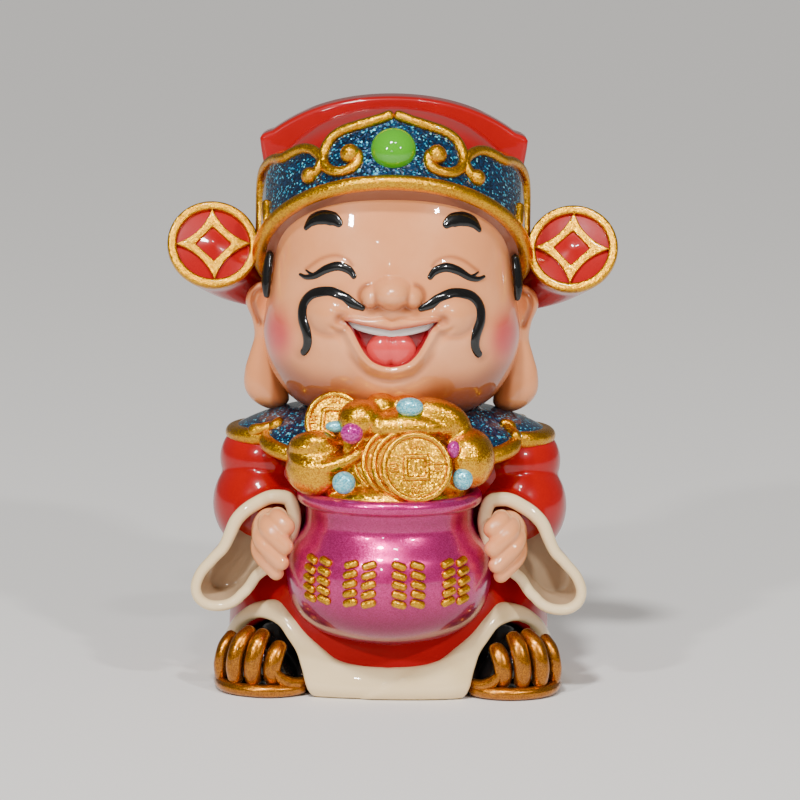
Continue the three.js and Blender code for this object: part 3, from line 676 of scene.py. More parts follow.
def hat_reach(turn):
    return oval_reach(turn, hat_radius - 0.3, hat_radius, hat_back_radius, 2)


def rim_drop(turn):
    """How far the rim is below the hat's own floor. It dips at the temples."""
    return rim_height + rim_dip * np.sin(turn) ** 4


def dome_place(turn, height):
    up = along_rows(dome_rows, rings_up(height))
    wide, deep = dome_at(up)
    reach = oval_reach(turn, wide, deep, deep - 1, 2)
    return on_hat(reach * np.sin(turn), dome_lean(up)[0] + reach * np.cos(turn), up)


def spun(shape, steps):
    """Spins a bmesh's outline once round the Z axis."""
    bmesh.ops.spin(
        shape, geom=shape.verts[:] + shape.edges[:], cent=(0, 0, 0), axis=(0, 0, 1), angle=2 * math.pi,
        steps=steps, use_merge=True,
    )


def looped(sides, steps, place):
    """A closed loop of tube. Each point goes to place(turn, around), with around 0 on its outer side."""
    ring_radius = 3
    shape = bmesh.new()
    bmesh.ops.create_circle(shape, segments=sides, radius=1)
    bmesh.ops.rotate(shape, matrix=Matrix.Rotation(math.pi / 2, 3, "X"), verts=shape.verts)
    bmesh.ops.translate(shape, vec=(ring_radius, 0, 0), verts=shape.verts)
    spun(shape, steps)
    return pulled(shape, lambda x, y, z: place(
        np.arctan2(x, -y), np.arctan2(z, np.hypot(x, y) - ring_radius)
    ))


def rim_place(turn, around):
    reach = hat_reach(turn) + rim_half * np.cos(around)
    return on_hat(reach * np.sin(turn), reach * np.cos(turn), rim_half * np.sin(around) - rim_drop(turn))


def lining_place(turn, height):
    reach = (hat_reach(turn) - 0.3) * np.sqrt(1 - height**2)
    return on_hat(reach * np.sin(turn), reach * np.cos(turn), lining_half * height - 0.5 - rim_drop(turn))


robe_reds = ((0.37, 0.0, 0.001), (0.43, 0.0, 0.002))
red = enamel("red_lacquer", *robe_reds, roughness=0.28, waviness=0.16, coat=0.7)

# Flakes lie at all angles in the lacquer, so each cell of the pattern has its own tilt and strength
flakes, flakes_in, flakes_out = shared_effect(
    "metal_flakes", {"Cells per metre": 3000.0, "Tilt": 0.4},
    {"Normal": "NodeSocketVector", "Strength": "NodeSocketFloat", "Hue": "NodeSocketFloat"},
)


def flake_maths(operation, inputs):
    """A step of vector arithmetic in the flakes' group."""
    return new_node(flakes, "VectorMath", inputs, operation=operation).outputs["Vector"]


flake_cells = new_node(flakes, "TexVoronoi", {
    "Vector": own_coordinates(flakes), "Scale": flakes_in.outputs["Cells per metre"],
}).outputs["Color"]
flake_parts = new_node(flakes, "SeparateColor", {"Color": flake_cells})
flake_lean = flake_maths("SUBTRACT", {0: flake_cells, 1: (0.5, 0.5, 0.5)})
flake_tilt = flake_maths("SCALE", {0: flake_lean, "Scale": flakes_in.outputs["Tilt"]})
flake_base = new_node(flakes, "NewGeometry", {}).outputs["Normal"]
flake_facing = flake_maths("NORMALIZE", {0: flake_maths("ADD", {0: flake_base, 1: flake_tilt})})
fed(flakes, flakes_out, {
    "Strength": flake_parts.outputs["Red"], "Hue": flake_parts.outputs["Green"], "Normal": flake_facing,
})


def flaked(name, colour, dark_colour, cells, tilt, roughness, metallic=1.0, coat=1.0, dark_share=0.1):
    """A metallic paint whose flakes go from dark_colour to colour, and its effect."""
    numbers = {"Cells per metre": cells, "Tilt": tilt}
    paint, tree, base, effect = lacquered(name, flakes, numbers, roughness, metallic, coat)
    strength = mapped(tree, effect.outputs["Strength"], dark_share, 1 - dark_share)
    tree.links.new(mixed(tree, strength, dark_colour, colour), base)
    return paint, effect


golds = ((0.82, 0.43, 0.0), (0.50, 0.19, 0.0))
lining_browns = ((0.26, 0.09, 0.05), (0.32, 0.12, 0.07))
gold, _ = flaked("gold_flake", *golds, cells=6500, tilt=0.42, roughness=0.33, coat=0.3)
lining = enamel("lining_lacquer", *lining_browns, roughness=0.4)
finished("hat_dome", [ball(240, 120, dome_place)], red)
finished("hat_rim", [looped(24, 300, rim_place)], gold)
finished("hat_lining", [ball(200, 24, lining_place)], lining)

# Front panel of the hat. A blue glitter plate stands round the front of the dome, edged and filled with gold
# cloud scrolls, and a green jewel sits in its middle. The scrolls are strands laid on the plate.
panel_end = math.radians(94)
panel_thickness = 1.6
panel_height = 12.7
panel_foot = -1
scroll_height = 0.9
hat_gem_radius = 3.85
hat_gem_bulge = 3.2
hat_gem_up = 6
panel_edge = [
    (0, 1), (7, 0.91), (15, 0.86), (22, 0.81), (27, 0.72), (30.5, 0.5), (34, 0.58), (41, 0.73), (48, 0.76),
    (55, 0.77), (62, 0.87), (70, 0.94), (80, 0.95), (88, 0.8), (94, 0.3),
]
curl_line = [
    (0, 12.7), (7, 11.6), (14.5, 10.9), (22, 10.3), (27, 9.2), (30, 7.3), (30.5, 5.7), (28.5, 3.7),
    (23, 2.4), (16.8, 2.8), (14.7, 4.6), (16.4, 6),
]
cloud_line = [
    (36.4, 3), (32.8, 4.1), (31.4, 5.8), (35.5, 8), (41.5, 9.3), (48.5, 9.6), (54.5, 9.8), (62, 11.1),
    (70.5, 11.9), (80, 12), (88, 10.2), (92.5, 6.5), (94, 2), (94, -1),
]
finger_line = [(69.5, 4.5), (68.8, 2.2), (67.2, -0.4)]


def panel_place(x, y, z):
    turn = x * panel_end
    top = panel_height * np.interp(np.abs(np.degrees(turn)), *np.array(panel_edge).T) - 0.4
    reach = hat_reach(turn)
    return on_hat(reach * np.sin(turn), reach * np.cos(turn), panel_foot + (top - panel_foot) * (y + 1) / 2)


def on_panel(line, out=0.0):
    """Places on the panel from (degrees, up), and the way each faces."""
    line = smooth_line(line, 40)
    turn, up = np.radians(line[:, 0]), line[:, 1]
    reach = hat_reach(turn)
    inner = np.column_stack(on_hat(reach * np.sin(turn), reach * np.cos(turn), up))
    outer = np.column_stack(on_hat((reach + 1) * np.sin(turn), (reach + 1) * np.cos(turn), up))
    return inner + (outer - inner) * out, outer - inner


def scroll(line, width, rings):
    spots, facing = on_panel(line, 0.1)
    return strand(spots, width, scroll_height, facing, 20, rings)


def panel_dot(degrees, up, radius):
    spots, _ = on_panel([(degrees, up), (degrees + 1, up)], 0.2)
    return lump(spots[0], (radius, radius, radius), 32, 20)


glitter_blues = ((0.0012, 0.034, 0.095), (0.0003, 0.006, 0.02))
glint_blue = (0.01, 0.30, 0.48)
glint_cyan = (0.14, 0.66, 0.85)
glitter, glitter_effect = flaked(
    "blue_glitter", *glitter_blues, cells=3400, tilt=0.5, roughness=0.25, metallic=0.2, dark_share=0.2
)
glint = mapped(glitter.node_tree, glitter_effect.outputs["Strength"], 0.87, 0.94)
glint_hue = mapped(glitter.node_tree, glitter_effect.outputs["Hue"], 0.35, 0.8)
overlaid(glitter, glint, mixed(glitter.node_tree, glint_hue, glint_blue, glint_cyan))

panel_grid = bmesh.new()
bmesh.ops.create_grid(panel_grid, x_segments=260, y_segments=20, size=1)
panel_shape = bmesh.new()
panel_shape.from_mesh(pulled(panel_grid, panel_place))
bmesh.ops.recalc_face_normals(panel_shape, faces=panel_shape.faces)
bmesh.ops.solidify(panel_shape, geom=panel_shape.faces[:], thickness=panel_thickness)
finished("hat_panel", [mesh_of(panel_shape)], glitter, 40)

finished("hat_scrolls", on_both_sides([
    scroll(curl_line, [0.95] * 10 + [1, 1.1], rings=220),
    scroll(cloud_line, [1] + [0.9] * 12, rings=260),
    scroll(finger_line, [0.75, 0.85, 0.65], rings=50),
    panel_dot(18, 5.4, 1.75),
    panel_dot(37, 3.2, 1.5),
]), gold)


def gem_place(turn, height):
    across = np.sqrt(1 - height**2)
    ahead = hat_radius - 0.4 + hat_gem_bulge * across * np.cos(turn)
    return on_hat(hat_gem_radius * across * np.sin(turn), ahead, hat_gem_up + hat_gem_radius * height)


greens = ((0.07, 0.36, 0.008), (0.035, 0.27, 0.005))
green = enamel("green_jewel", *greens, roughness=0.12, waviness=0.04)
finished("hat_gem", [ball(96, 64, gem_place)], green)

# Rear crown of the hat. A thick red plate stands up behind the dome, with flared sides and a low peak. It is
# cut from a plain outline, given its depth and rounded at its edges.
crown_half = 23.3
crown_front = 6.6
crown_back = 18.4
crown_foot = 70
crown_slope_top = 78
crown_foot_slope = 0.5
crown_peak = parts_in_height
crown_rounding = 1.2
crown_outline = [
    (0.78 * crown_half, crown_foot), (0.86 * crown_half, 78), (0.95 * crown_half, 86), (crown_half, 92.4),
    (0.985 * crown_half, 93.6), (0.91 * crown_half, 94.3),
]


def crown_edge():
    """The outline of the +X half, from its foot up to the peak."""
    side = smooth_line(crown_outline, 40)
    t = np.linspace(0, 1, 40)[1:, None]
    corner, peak = np.array(crown_outline[-1]), np.array((0, crown_peak))
    knee = np.array((0.55 * crown_half, crown_peak))
    return np.vstack([side, (1 - t) ** 2 * corner + 2 * t * (1 - t) * knee + t**2 * peak])


def thickened(shape, faces, shift):
    """Makes a plate of flat faces, its other side moved by a shift."""
    pushed = bmesh.ops.extrude_face_region(shape, geom=faces)
    moved = [v for v in pushed["geom"] if isinstance(v, bmesh.types.BMVert)]
    bmesh.ops.translate(shape, vec=shift, verts=moved)


crown_right = crown_edge()
crown_left = crown_right[-2::-1] * (-1, 1)
crown_shape = bmesh.new()
crown_face = crown_shape.faces.new([
    crown_shape.verts.new((x, crown_front, z)) for x, z in np.vstack([crown_right, crown_left])
])
thickened(crown_shape, [crown_face], (0, crown_back - crown_front, 0))
crown_edges = [e for e in crown_shape.edges if abs(e.verts[0].co.y - e.verts[1].co.y) < 0.01]
bmesh.ops.bevel(
    crown_shape, geom=crown_edges, offset=crown_rounding, offset_type="OFFSET", affect="EDGES", segments=5,
    profile=0.5, material=-1, clamp_overlap=True,
)
bmesh.ops.triangulate(crown_shape, faces=crown_shape.faces)


def crown_place(x, y, z):
    """The foot slopes down to the nape."""
    low = np.clip((crown_slope_top - z) / (crown_slope_top - crown_foot), 0, 1)
    return x, y, z - crown_foot_slope * (y - crown_front) * low


finished("hat_crown", [pulled(crown_shape, crown_place)], red, 35)

# Wings of the hat. A red horn grows from each side of the hat and ends in a round disc that faces ahead. A
# gold rim and a four-pointed gold coin star with a square hole stand on it.
disc_middle = np.array((31, -1, 74.9))
disc_facing = unit(np.array((-0.13, -0.9, 0.43)))
disc_up = unit(np.array((0, 0, 1)) - disc_facing * disc_facing[2])
disc_side = np.cross(disc_facing, disc_up)
disc_radius = 7.9
disc_rim = 1.6
disc_relief = 0.8
disc_share = 0.18
disc_dome = 0.6
disc_boss = 0.4
disc_boss_radius = 2.2
star_tip = 6.6
star_hole = 3.1
star_waist = 0.26
star_foot = 0.3
star_rounding = 0.22
horn_rows = [
    (0, 31, -1, 74.9, 7.5), (0.3, 31, 0.4, 74.4, 7.6), (0.5, 30.4, 3.4, 73.2, 7.3),
    (0.68, 27, 8.5, 70.5, 6.8), (0.84, 22, 11, 68.5, 6), (1, 15, 12, 67, 4.6),
]
horn_at = smooth_through(horn_rows)


def on_disc(across, up, out, middle=disc_middle[:, None]):
    """A place on the disc, in the figure's frame."""
    return middle + disc_side[:, None] * across + disc_up[:, None] * up + disc_facing[:, None] * out


def horn_place(turn, height):
    """The field is flat, then the horn runs back to the hat."""
    share = rings_up(height)
    field = np.clip(share / disc_share, 0, 1)
    back = np.clip((share - disc_share) / (1 - disc_share), 0, 1)
    x, y, z, radius = horn_at(back)
    radius = np.where(share < disc_share, (disc_radius - 0.4) * field, radius)
    radius = radius * np.sqrt(np.clip((1 - back) / 0.05, 0, 1))
    out = disc_dome * (1 - field**2) + disc_boss * fade(field * disc_radius, disc_boss_radius)
    return on_disc(radius * np.sin(turn), radius * np.cos(turn), out, np.vstack([x, y, z]))


def disc_rim_place(turn, around):
    """A flat gold band with rounded edges."""
    across, out = np.cos(around), np.sin(around)
    round_off = (np.abs(across) ** 4 + np.abs(out) ** 4) ** -0.25
    reach = disc_radius - disc_rim / 2 + disc_rim / 2 * across * round_off
    return on_disc(reach * np.sin(turn), reach * np.cos(turn), 0.2 + disc_relief * out * round_off)


def star_mesh():
    """The gold star between its curved outside and its square hole."""
    shape = bmesh.new()
    count = 12
    outer, inner = [], []
    for k in range(4):
        start, end = (np.array((math.sin(a), math.cos(a))) for a in (k * math.pi / 2, (k + 1) * math.pi / 2))
        knee = (start + end) * star_waist * star_tip
        for i in range(count):
            t = i / count
            outer.append((1 - t) ** 2 * start * star_tip + 2 * t * (1 - t) * knee + t * t * end * star_tip)
            inner.append(((1 - t) * start + t * end) * star_hole)
    edges = []
    for line in (outer, inner):
        points = [shape.verts.new(on_disc(x, z, star_foot)[:, 0]) for x, z in line]
        edges += [shape.edges.new((a, b)) for a, b in zip(points, points[1:] + points[:1])]
    bmesh.ops.bridge_loops(shape, edges=edges)
    thickened(shape, shape.faces[:], Vector(disc_facing * disc_relief))
    bmesh.ops.recalc_face_normals(shape, faces=shape.faces)
    sharp = [e for e in shape.edges if e.is_manifold and e.calc_face_angle(0) > 0.7]
    bmesh.ops.bevel(
        shape, geom=sharp, offset=star_rounding, affect="EDGES", segments=3, profile=0.5, material=-1
    )
    return mesh_of(shape)


finished("hat_wings", on_both_sides([ball(120, 150, horn_place)]), red, 50)
finished("wing_coins", on_both_sides([looped(28, 160, disc_rim_place), star_mesh()]), gold, 35)

# Collar. The scalloped cape lies over the shoulders in blue glitter, with a rolled gold edge that curls at
# each notch. The cape is a flattened ball, and its edge a loop of tube that follows the scallops.
collar_thickness = 2.2
collar_roll = 1.35
collar_lobes = 8
collar_sizes = (28, 19.5, 17.5)
collar_power = 2.3
collar_neck = 12
collar_top = 47
curl_steps = [(-5.5, 0.985), (-2.4, 0.95), (0, 0.9), (1.8, 0.83), (1.2, 0.76), (-1.2, 0.75)]


def on_collar(turn, across, out=0.0):
    """A place on the cape, with across from 0 at its middle to 1 at its edge."""
    scallop = np.abs(np.cos(collar_lobes / 2 * turn)) ** 0.55
    reach = oval_reach(turn, *collar_sizes, collar_power) * (0.84 + 0.16 * scallop)
    reach = collar_neck * np.minimum(across * 3, 1) + (reach - collar_neck) * across
    fall = 4.4 + 3.4 * np.cos(turn) ** 2
    drop = fall * across**1.7 * (0.8 + 0.2 * scallop)
    return (reach + out) * np.sin(turn), axis_y - (reach + out) * np.cos(turn), collar_top - drop


def collar_place(turn, height):
    across = np.sqrt(1 - height**2)
    x, y, z = on_collar(turn, across)
    return x, y, z + np.sign(height) * collar_thickness / 2 * np.sqrt(np.maximum(1 - across**6, 0))


def collar_edge_place(turn, around):
    x, y, z = on_collar(turn, 1, 1.25 * collar_roll * np.cos(around) - 1)
    return x, y, z + collar_roll * 1.1 * np.sin(around)


def collar_curl(lobe):
    """The hook in which the rolled edge ends at a notch."""
    notch = math.radians((lobe + 0.5) * 360 / collar_lobes)
    spots = []
    for degrees, across in curl_steps:
        x, y, z = on_collar(np.array(notch + math.radians(degrees)), across)
        spots.append((x, y, z + 1))
    facing = (math.sin(notch) * 0.8, -math.cos(notch) * 0.8, 0.6)
    return strand(spots, [1.1, 1.15, 1.1, 1.05, 1, 0.95], 1, facing, 16, 60)


collar_curls = [collar_curl(lobe) for lobe in range(collar_lobes)]
finished("collar", [ball(480, 60, collar_place)], glitter)
finished("collar_edge", [looped(20, 720, collar_edge_place)] + collar_curls, gold)

# Robe. The squat red body of the casting spreads to a flat foot, with soft folds that run down from the arms.
# Under the arch of the hem its front is recessed and painted black.
robe_power = 2.5
robe_rows = [
    (-9, 0, 0, 0), (0, 27.2, 20.6, 18), (5, 27.7, 20.6, 18.7), (14, 27.4, 18.4, 18.9), (22, 26.6, 14, 18.4),
    (32, 26, 11, 17.6), (39, 25, 10.6, 16.4), (43.5, 21, 10.4, 13.4), (47, 13, 8, 10), (49, 0, 0, 0),
]
hem_low = [
    (0, 0), (32, 0), (36, 3.8), (39, 7), (43.5, 9.4), (48, 11.4), (54, 12.3), (59, 12.2), (65, 10.9),
    (71, 8.4), (77, 4), (81, 0), (180, 0),
]
hem_high = [
    (0, 5.4), (13.5, 5.7), (23.5, 6.6), (31, 8.6), (38.5, 10.8), (46, 13.6), (53, 15.6), (61, 14.9),
    (67, 13.1), (76, 9.8), (88, 6.8), (110, 5.8), (180, 5.4),
]
hem_half = 1.5
fold_depth = 0.85
fold_count = 9
arch_depth = 2.6
flap_corner = (-3.7, 0.8)
flap_facing = (0.505, -0.863)
flap_step = 0.45
robe_at = outline_through(robe_rows)
hem_low_at = smooth_through(hem_low)
hem_high_at = smooth_through(hem_high)


def robe_reach(turn, z):
    return oval_reach(turn, *robe_at(z), robe_power)


def hem_span(turn):
    """The hem's lower and upper edges at a turn from the front."""
    degrees = np.abs(np.degrees(turn))
    return np.maximum(hem_low_at(degrees)[0], 0), hem_high_at(degrees)[0]


def robe_place(turn, height):
    z = along_rows(robe_rows, rings_up(height))
    reach = robe_reach(turn, z)
    low, _ = hem_span(turn)
    z = np.maximum(z, 0)
    behind = eased((np.abs(turn) - 1.3) / 0.5)
    folds = fold_depth * behind * np.cos(fold_count * turn) * eased((37 - z) / 20) * eased((z - 2) / 8)
    recess = arch_depth * eased((low - z) / 0.6) * (low > 0.5)
    reach = reach + np.where(reach > 4, folds - recess, 0)
    return reach * np.sin(turn), axis_y - reach * np.cos(turn), z


def hem_place(turn, around):
    """A rounded band. In front its upper flap lies over the lower one, with a slanting edge."""
    low, high = hem_span(turn)
    across, out = np.sin(around), np.cos(around)
    round_off = (np.abs(across) ** 3 + np.abs(out) ** 3) ** (-1 / 3)
    half = (high - low) / 2
    z = (high + low) / 2 + half * across * round_off
    reach = robe_reach(turn, z) - 0.3 + hem_half * out * round_off
    reach = reach - 0.35 * eased((np.abs(turn) - 1.7) / 0.6)
    x = reach * np.sin(turn)
    over = flap_facing[0] * (x - flap_corner[0]) + flap_facing[1] * (z - flap_corner[1])
    reach = reach + flap_step * eased(over / 0.6) * eased((0.75 - turn) / 0.3) * (turn > -0.4) * (out > 0)
    return reach * np.sin(turn), axis_y - reach * np.cos(turn), z


robe_mesh = ball(300, 180, robe_place)
robe_x, robe_y, robe_z = points_of(robe_mesh)
robe_turn = np.arctan2(robe_x, axis_y - robe_y)
robe_low, _ = hem_span(robe_turn)
add_mask(robe_mesh, "recess", np.where(robe_low > 0.5, robe_low - robe_z, -1))
robe_paint = enamel("robe_lacquer", *robe_reds, roughness=0.28, waviness=0.16, coat=0.7)
overlaid(robe_paint, masked(robe_paint, "recess", 0.1, 0.5), hair_black)
finished("robe", [robe_mesh], robe_paint)

creams = ((0.86, 0.65, 0.36), (0.78, 0.57, 0.29))
cream = enamel("cream_lacquer", *creams, roughness=0.34)
finished("hem", [looped(36, 420, hem_place)], cream)

# Sleeves. A wide sleeve hangs from each bent arm and ends in a cream cuff, with a beige hollow behind it. The
# arm is a strand with two lumps and the sleeve a cone on the cuff's outline, all grown together and smoothed.
cuff_points = [
    (16, 33.6), (19.5, 34.8), (23.4, 33.3), (26.3, 30.9), (27.8, 27.9), (28.9, 25.4), (30.7, 23.4),
    (32.7, 20.9), (33.5, 18.5), (33, 16.3), (31.3, 14.8), (28.9, 14.4), (26.4, 15), (24.2, 16.8), (21.6, 20),
    (17.4, 24),
]
cuff_middle = np.array((24.6, 25))
cuff_wall = 1.7
cuff_depth = 7
cuff_y = -18.4
cuff_slant = 0.1
hollow_share = 0.3
floor_share = 0.4
sleeve_far = np.array((23, 0, 27))
sleeve_rows = smooth_through([(0, 1, 0), (0.25, 0.97, 0.22), (0.65, 0.8, 0.64), (1, 0.35, 0.95)])
arm_line = [(18, 1, 40), (24.2, 0.5, 35), (25.3, -1.5, 28.5), (24.5, -8, 25)]


def round_cuff(points):
    """Rows of (turn, reach) round the cuff's middle, with a spare row past each end."""
    across, up = (np.array(points) - cuff_middle).T
    rows = sorted(zip(np.arctan2(across, up), np.hypot(across, up)))
    (first, first_reach), (last, last_reach) = rows[0], rows[-1]
    return [(last - 2 * math.pi, last_reach), *rows, (first + 2 * math.pi, first_reach)]


cuff_reach = smooth_through(round_cuff(cuff_points))


def cuff_outline(turn, inset=0.0):
    """The cuff's outline round its middle, moved in by so much."""

    def spot(turn):
        reach = cuff_reach((turn + math.pi) % (2 * math.pi) - math.pi)[0]
        return np.array((cuff_middle[0] + reach * np.sin(turn), cuff_middle[1] + reach * np.cos(turn)))

    run_x, run_z = unit((spot(turn + 0.02) - spot(turn - 0.02)).T).T
    x, z = spot(turn)
    return x + run_z * inset, z - run_x * inset


def cuff_face_y(z):
    return cuff_y - (24 - z) * cuff_slant


def hollow_form(share, narrowest):
    """How wide and how deep the sleeve's hollow is, from the middle of its floor at 0 to its mouth at 1."""
    wide = np.minimum(share / floor_share, 1) * (narrowest + (1 - narrowest) * share)
    return wide, np.clip((1 - share) / (1 - floor_share), 0, 1)


def sleeve_place(turn, height):
    """From the bottom of the sleeve's hollow out to its mouth, then back outside to the arm."""
    share = rings_up(height)
    hollow = np.clip(share / hollow_share, 0, 1)
    back = np.clip((share - hollow_share) / (1 - hollow_share), 0, 1)
    inside = share < hollow_share
    x, z = cuff_outline(turn, np.where(inside, cuff_wall - 0.75, 0.2))
    scale, run = sleeve_rows(back)
    hollow_scale, hollow_depth = hollow_form(hollow, 0.72)
    scale = np.where(inside, hollow_scale, scale * np.sqrt(np.clip((1 - back) / 0.1, 0, 1)))
    x = cuff_middle[0] + (sleeve_far[0] - cuff_middle[0]) * run + (x - cuff_middle[0]) * scale
    z = cuff_middle[1] + (sleeve_far[2] - cuff_middle[1]) * run + (z - cuff_middle[1]) * scale
    face = cuff_face_y(z) + 1
    return x, face + np.where(inside, cuff_depth * hollow_depth, (sleeve_far[1] - face) * run), z


def grown_together(name, meshes, paint, voxel=0.35, smoothing=6):
    """Grows meshes into one skin and smooths their joints away."""
    piece = finished(name, meshes, paint)
    grow = piece.modifiers.new("grow", "REMESH")
    grow.mode = "VOXEL"
    grow.voxel_size = voxel * part
    grow.use_smooth_shade = True
    soften = piece.modifiers.new("soften", "SMOOTH")
    soften.factor = 0.5
    soften.iterations = smoothing
    return piece


def cuff_half(turn):
    """Half the cuff's width, which is a little more at its top."""
    return cuff_wall / 2 + 0.05 + 0.15 * np.cos(turn + 0.5)


def cuff_ring_place(turn, around):
    """A rounded band round the sleeve's mouth."""
    across, out = np.sin(around), np.cos(around)
    half = cuff_half(turn)
    x, z = cuff_outline(turn, half - (half + 0.15) * out)
    return x, cuff_face_y(z) + 0.7 - 1.1 * across, z


def cuff_cup_place(turn, height):
    """The thin paint in the hollow of the sleeve, from its bottom out to the cuff and back behind itself."""
    share = rings_up(height)
    behind = share > 0.5
    share = np.where(behind, 1 - share, share) * 2
    x, z = cuff_outline(turn, 2 * cuff_half(turn) - np.where(behind, 0.3, 0.1))
    scale, depth = hollow_form(share, 0.76)
    x = cuff_middle[0] + (x - cuff_middle[0]) * scale
    z = cuff_middle[1] + (z - cuff_middle[1]) * scale
    return x, cuff_face_y(z) + 0.4 + (cuff_depth - 0.8) * depth + 0.3 * behind, z


arm_forms = [
    strand(arm_line, [5.2, 5, 4.4, 3.8], [5.2, 5, 4.4, 3.8], (0, 1, 0.3), 32, 60),
    lump((21.4, -1.8, 38.2), (8.2, 8.6, 7.2), 64, 48),
    lump((22.2, -3.6, 30.6), (8.5, 9.6, 9), 64, 48),
]
grown_together(
    "sleeves", on_both_sides(arm_forms + [ball(96, 80, sleeve_place)]), red, smoothing=12
)
finished("cuffs", on_both_sides([looped(24, 240, cuff_ring_place)]), cream)
cup_mesh = ball(160, 72, cuff_cup_place)
add_mask(cup_mesh, "height", points_of(cup_mesh)[2])
hollow_beiges = ((0.42, 0.28, 0.16), (0.50, 0.35, 0.21))
hollow_brown = (0.36, 0.13, 0.08)
sleeve_lining = enamel("sleeve_lining_lacquer", *hollow_beiges, roughness=0.38, thin_from=0.4)
overlaid(sleeve_lining, masked(sleeve_lining, "height", 24.5, 29.5), hollow_brown)
finished("cuff_linings", on_both_sides([cup_mesh]), sleeve_lining)

# Shoes. Two upturned shoes show under the hem. Each is black with a bronze-gold sole, and four ribs of the
# same colour curve up over its toe. The shoe is a ball pulled to its outline, and the ribs are strands.
shoe_y = -11.5
shoe_inner = 13.2
shoe_length = 15.4
shoe_rows = smooth_through([
    (13.2, 4, 2.6), (14.4, 6, 4.6), (16.2, 7.6, 7.2), (19, 9, 9.6), (22.4, 9.6, 11), (25.6, 8.8, 9.6),
    (27.8, 6.9, 6.8), (28.6, 4, 4),
])
rib_height = 1.2
shoe_ribs = [
    ([(28.4, -15.4, 1.8), (28.5, -17, 4.8), (27.8, -16.6, 7.8), (26.4, -14.4, 9.7)], 1.25),
    ([(25.7, -18.8, 1.8), (26, -20.2, 5.4), (25.1, -19.4, 9), (23, -16.8, 11)], 1.5),
    ([(22.7, -20, 1.8), (22.9, -21.4, 5.4), (22.1, -20.6, 9), (20.8, -18, 10.8)], 1.5),
    ([(19.4, -19.8, 1.8), (19.6, -21.2, 4.8), (19, -20.6, 7.4), (18, -18.6, 9)], 1.55),
]
rib_facing = [(0, -1, -0.1), (0, -1, 0.05), (0.1, -1, 0.5), (0.2, -0.6, 1)]


def shoe_place(turn, height):
    share = rings_up(height)
    x = shoe_inner + shoe_length * share
    deep, high = shoe_rows(x)
    close = np.sqrt(np.maximum(1 - (2 * share - 1) ** 8, 0))
    y = shoe_y - deep * np.cos(turn) * close
    return x, y + 0.6, np.maximum(high * (0.42 + 0.5 * np.sin(turn)) * close, 0)


sole_line = [
    (28.9, -8, 1.25), (28.7, -14.5, 1.25), (27.4, -18.4, 1.2), (24.5, -20.8, 1.15), (20.5, -21.9, 1.15),
    (16.8, -21, 1.2), (14, -18.9, 1.35),
]
toe_curl = [(19.2, -21.3, 5), (18.3, -21.3, 3.5), (16.8, -20.9, 2.5), (15.3, -20.2, 2.3), (13.9, -19.2, 2.6)]
bronzes = ((0.52, 0.19, 0.008), (0.25, 0.075, 0.003))
bronze, _ = flaked("bronze_flake", *bronzes, cells=7500, tilt=0.2, roughness=0.28, metallic=0.9, coat=0.5)
ribs = []
for line, half in shoe_ribs:
    ribs.append(strand(line, [half * 0.9, half, half, half * 0.85], rib_height, rib_facing, 24, 80))
ribs.append(strand(sole_line, 1.1, 1.1, (0, -1, 0), 24, 110))
ribs.append(strand(toe_curl, [0.5, 1, 1.1, 1, 0.7], 1, (0, -1, 0.3), 24, 60))
finished("shoes", on_both_sides([ball(96, 80, shoe_place)]), black)
finished("shoe_ribs", on_both_sides(ribs), bronze)

# Pot. The round pearl-pink pot that the figure hugs has a rounded lip. It is turned from one outline, and its
# raised gold strokes are laid on its belly in rows.
pot_middle = np.array((0, -15.6))
pot_foot = 9.8
pot_height = 25.6
pot_radius = 17.6
pot_foot_radius = 8
pot_neck_radius = 14.4
pot_lip_radius = 15.8
pot_lip_height = 2.6
pot_wall = 1.8
pot_mouth_depth = 1.5
pot_top = pot_foot + pot_height
belly_height = pot_height - pot_lip_height
belly_rows = smooth_through([
    (0, pot_foot_radius), (0.07, 12.6), (0.22, 16.1), (0.46, pot_radius), (0.66, 0.965 * pot_radius),
    (0.79, 15.1), (0.86, pot_neck_radius), (1, pot_neck_radius),
])


def belly_radius(z):
    return belly_rows(np.clip((z - pot_foot) / belly_height, 0, 1))[0]


def turned(outline, steps):
    """An outline of (radius, z) from axis to axis, spun about the pot's axis."""
    shape = bmesh.new()
    points = [shape.verts.new((radius, 0, z)) for radius, z in outline]
    for a, b in zip(points, points[1:]):
        shape.edges.new((a, b))
    spun(shape, steps)
    bmesh.ops.remove_doubles(shape, verts=shape.verts, dist=0.001)
    return pulled(shape, lambda x, y, z: (x + pot_middle[0], y + pot_middle[1], z))


pot_outline = [(0, pot_foot), (pot_foot_radius * 0.5, pot_foot)]
for share in np.linspace(0, 1, 70):
    pot_outline.append((float(belly_rows(share)[0]), pot_foot + belly_height * share))
lip_half_high = pot_lip_height / 2
lip_half_wide = 0.9 * lip_half_high
for angle in np.radians(np.linspace(-80, 190, 40)):
    lip_reach = pot_lip_radius - lip_half_wide + lip_half_wide * math.cos(angle)
    pot_outline.append((lip_reach, pot_top - lip_half_high + lip_half_high * math.sin(angle)))
pot_outline += [(pot_lip_radius - pot_wall - 0.6, pot_top - pot_mouth_depth), (0, pot_top - pot_mouth_depth)]

pearl_pinks = ((0.66, 0.028, 0.24), (0.42, 0.008, 0.11))
pearl_shade = (0.15, 0.003, 0.03)
pink, _ = flaked("pearl_pink_flake", *pearl_pinks, cells=9000, tilt=0.1, roughness=0.3, metallic=0.72)
# Painted shade: the pink darkens towards the pot's foot and in the hollow of its neck
overlaid(pink, masked(pink, "under", 0, 1, 0.8), pearl_shade)
pot_mesh = turned(pot_outline, 200)
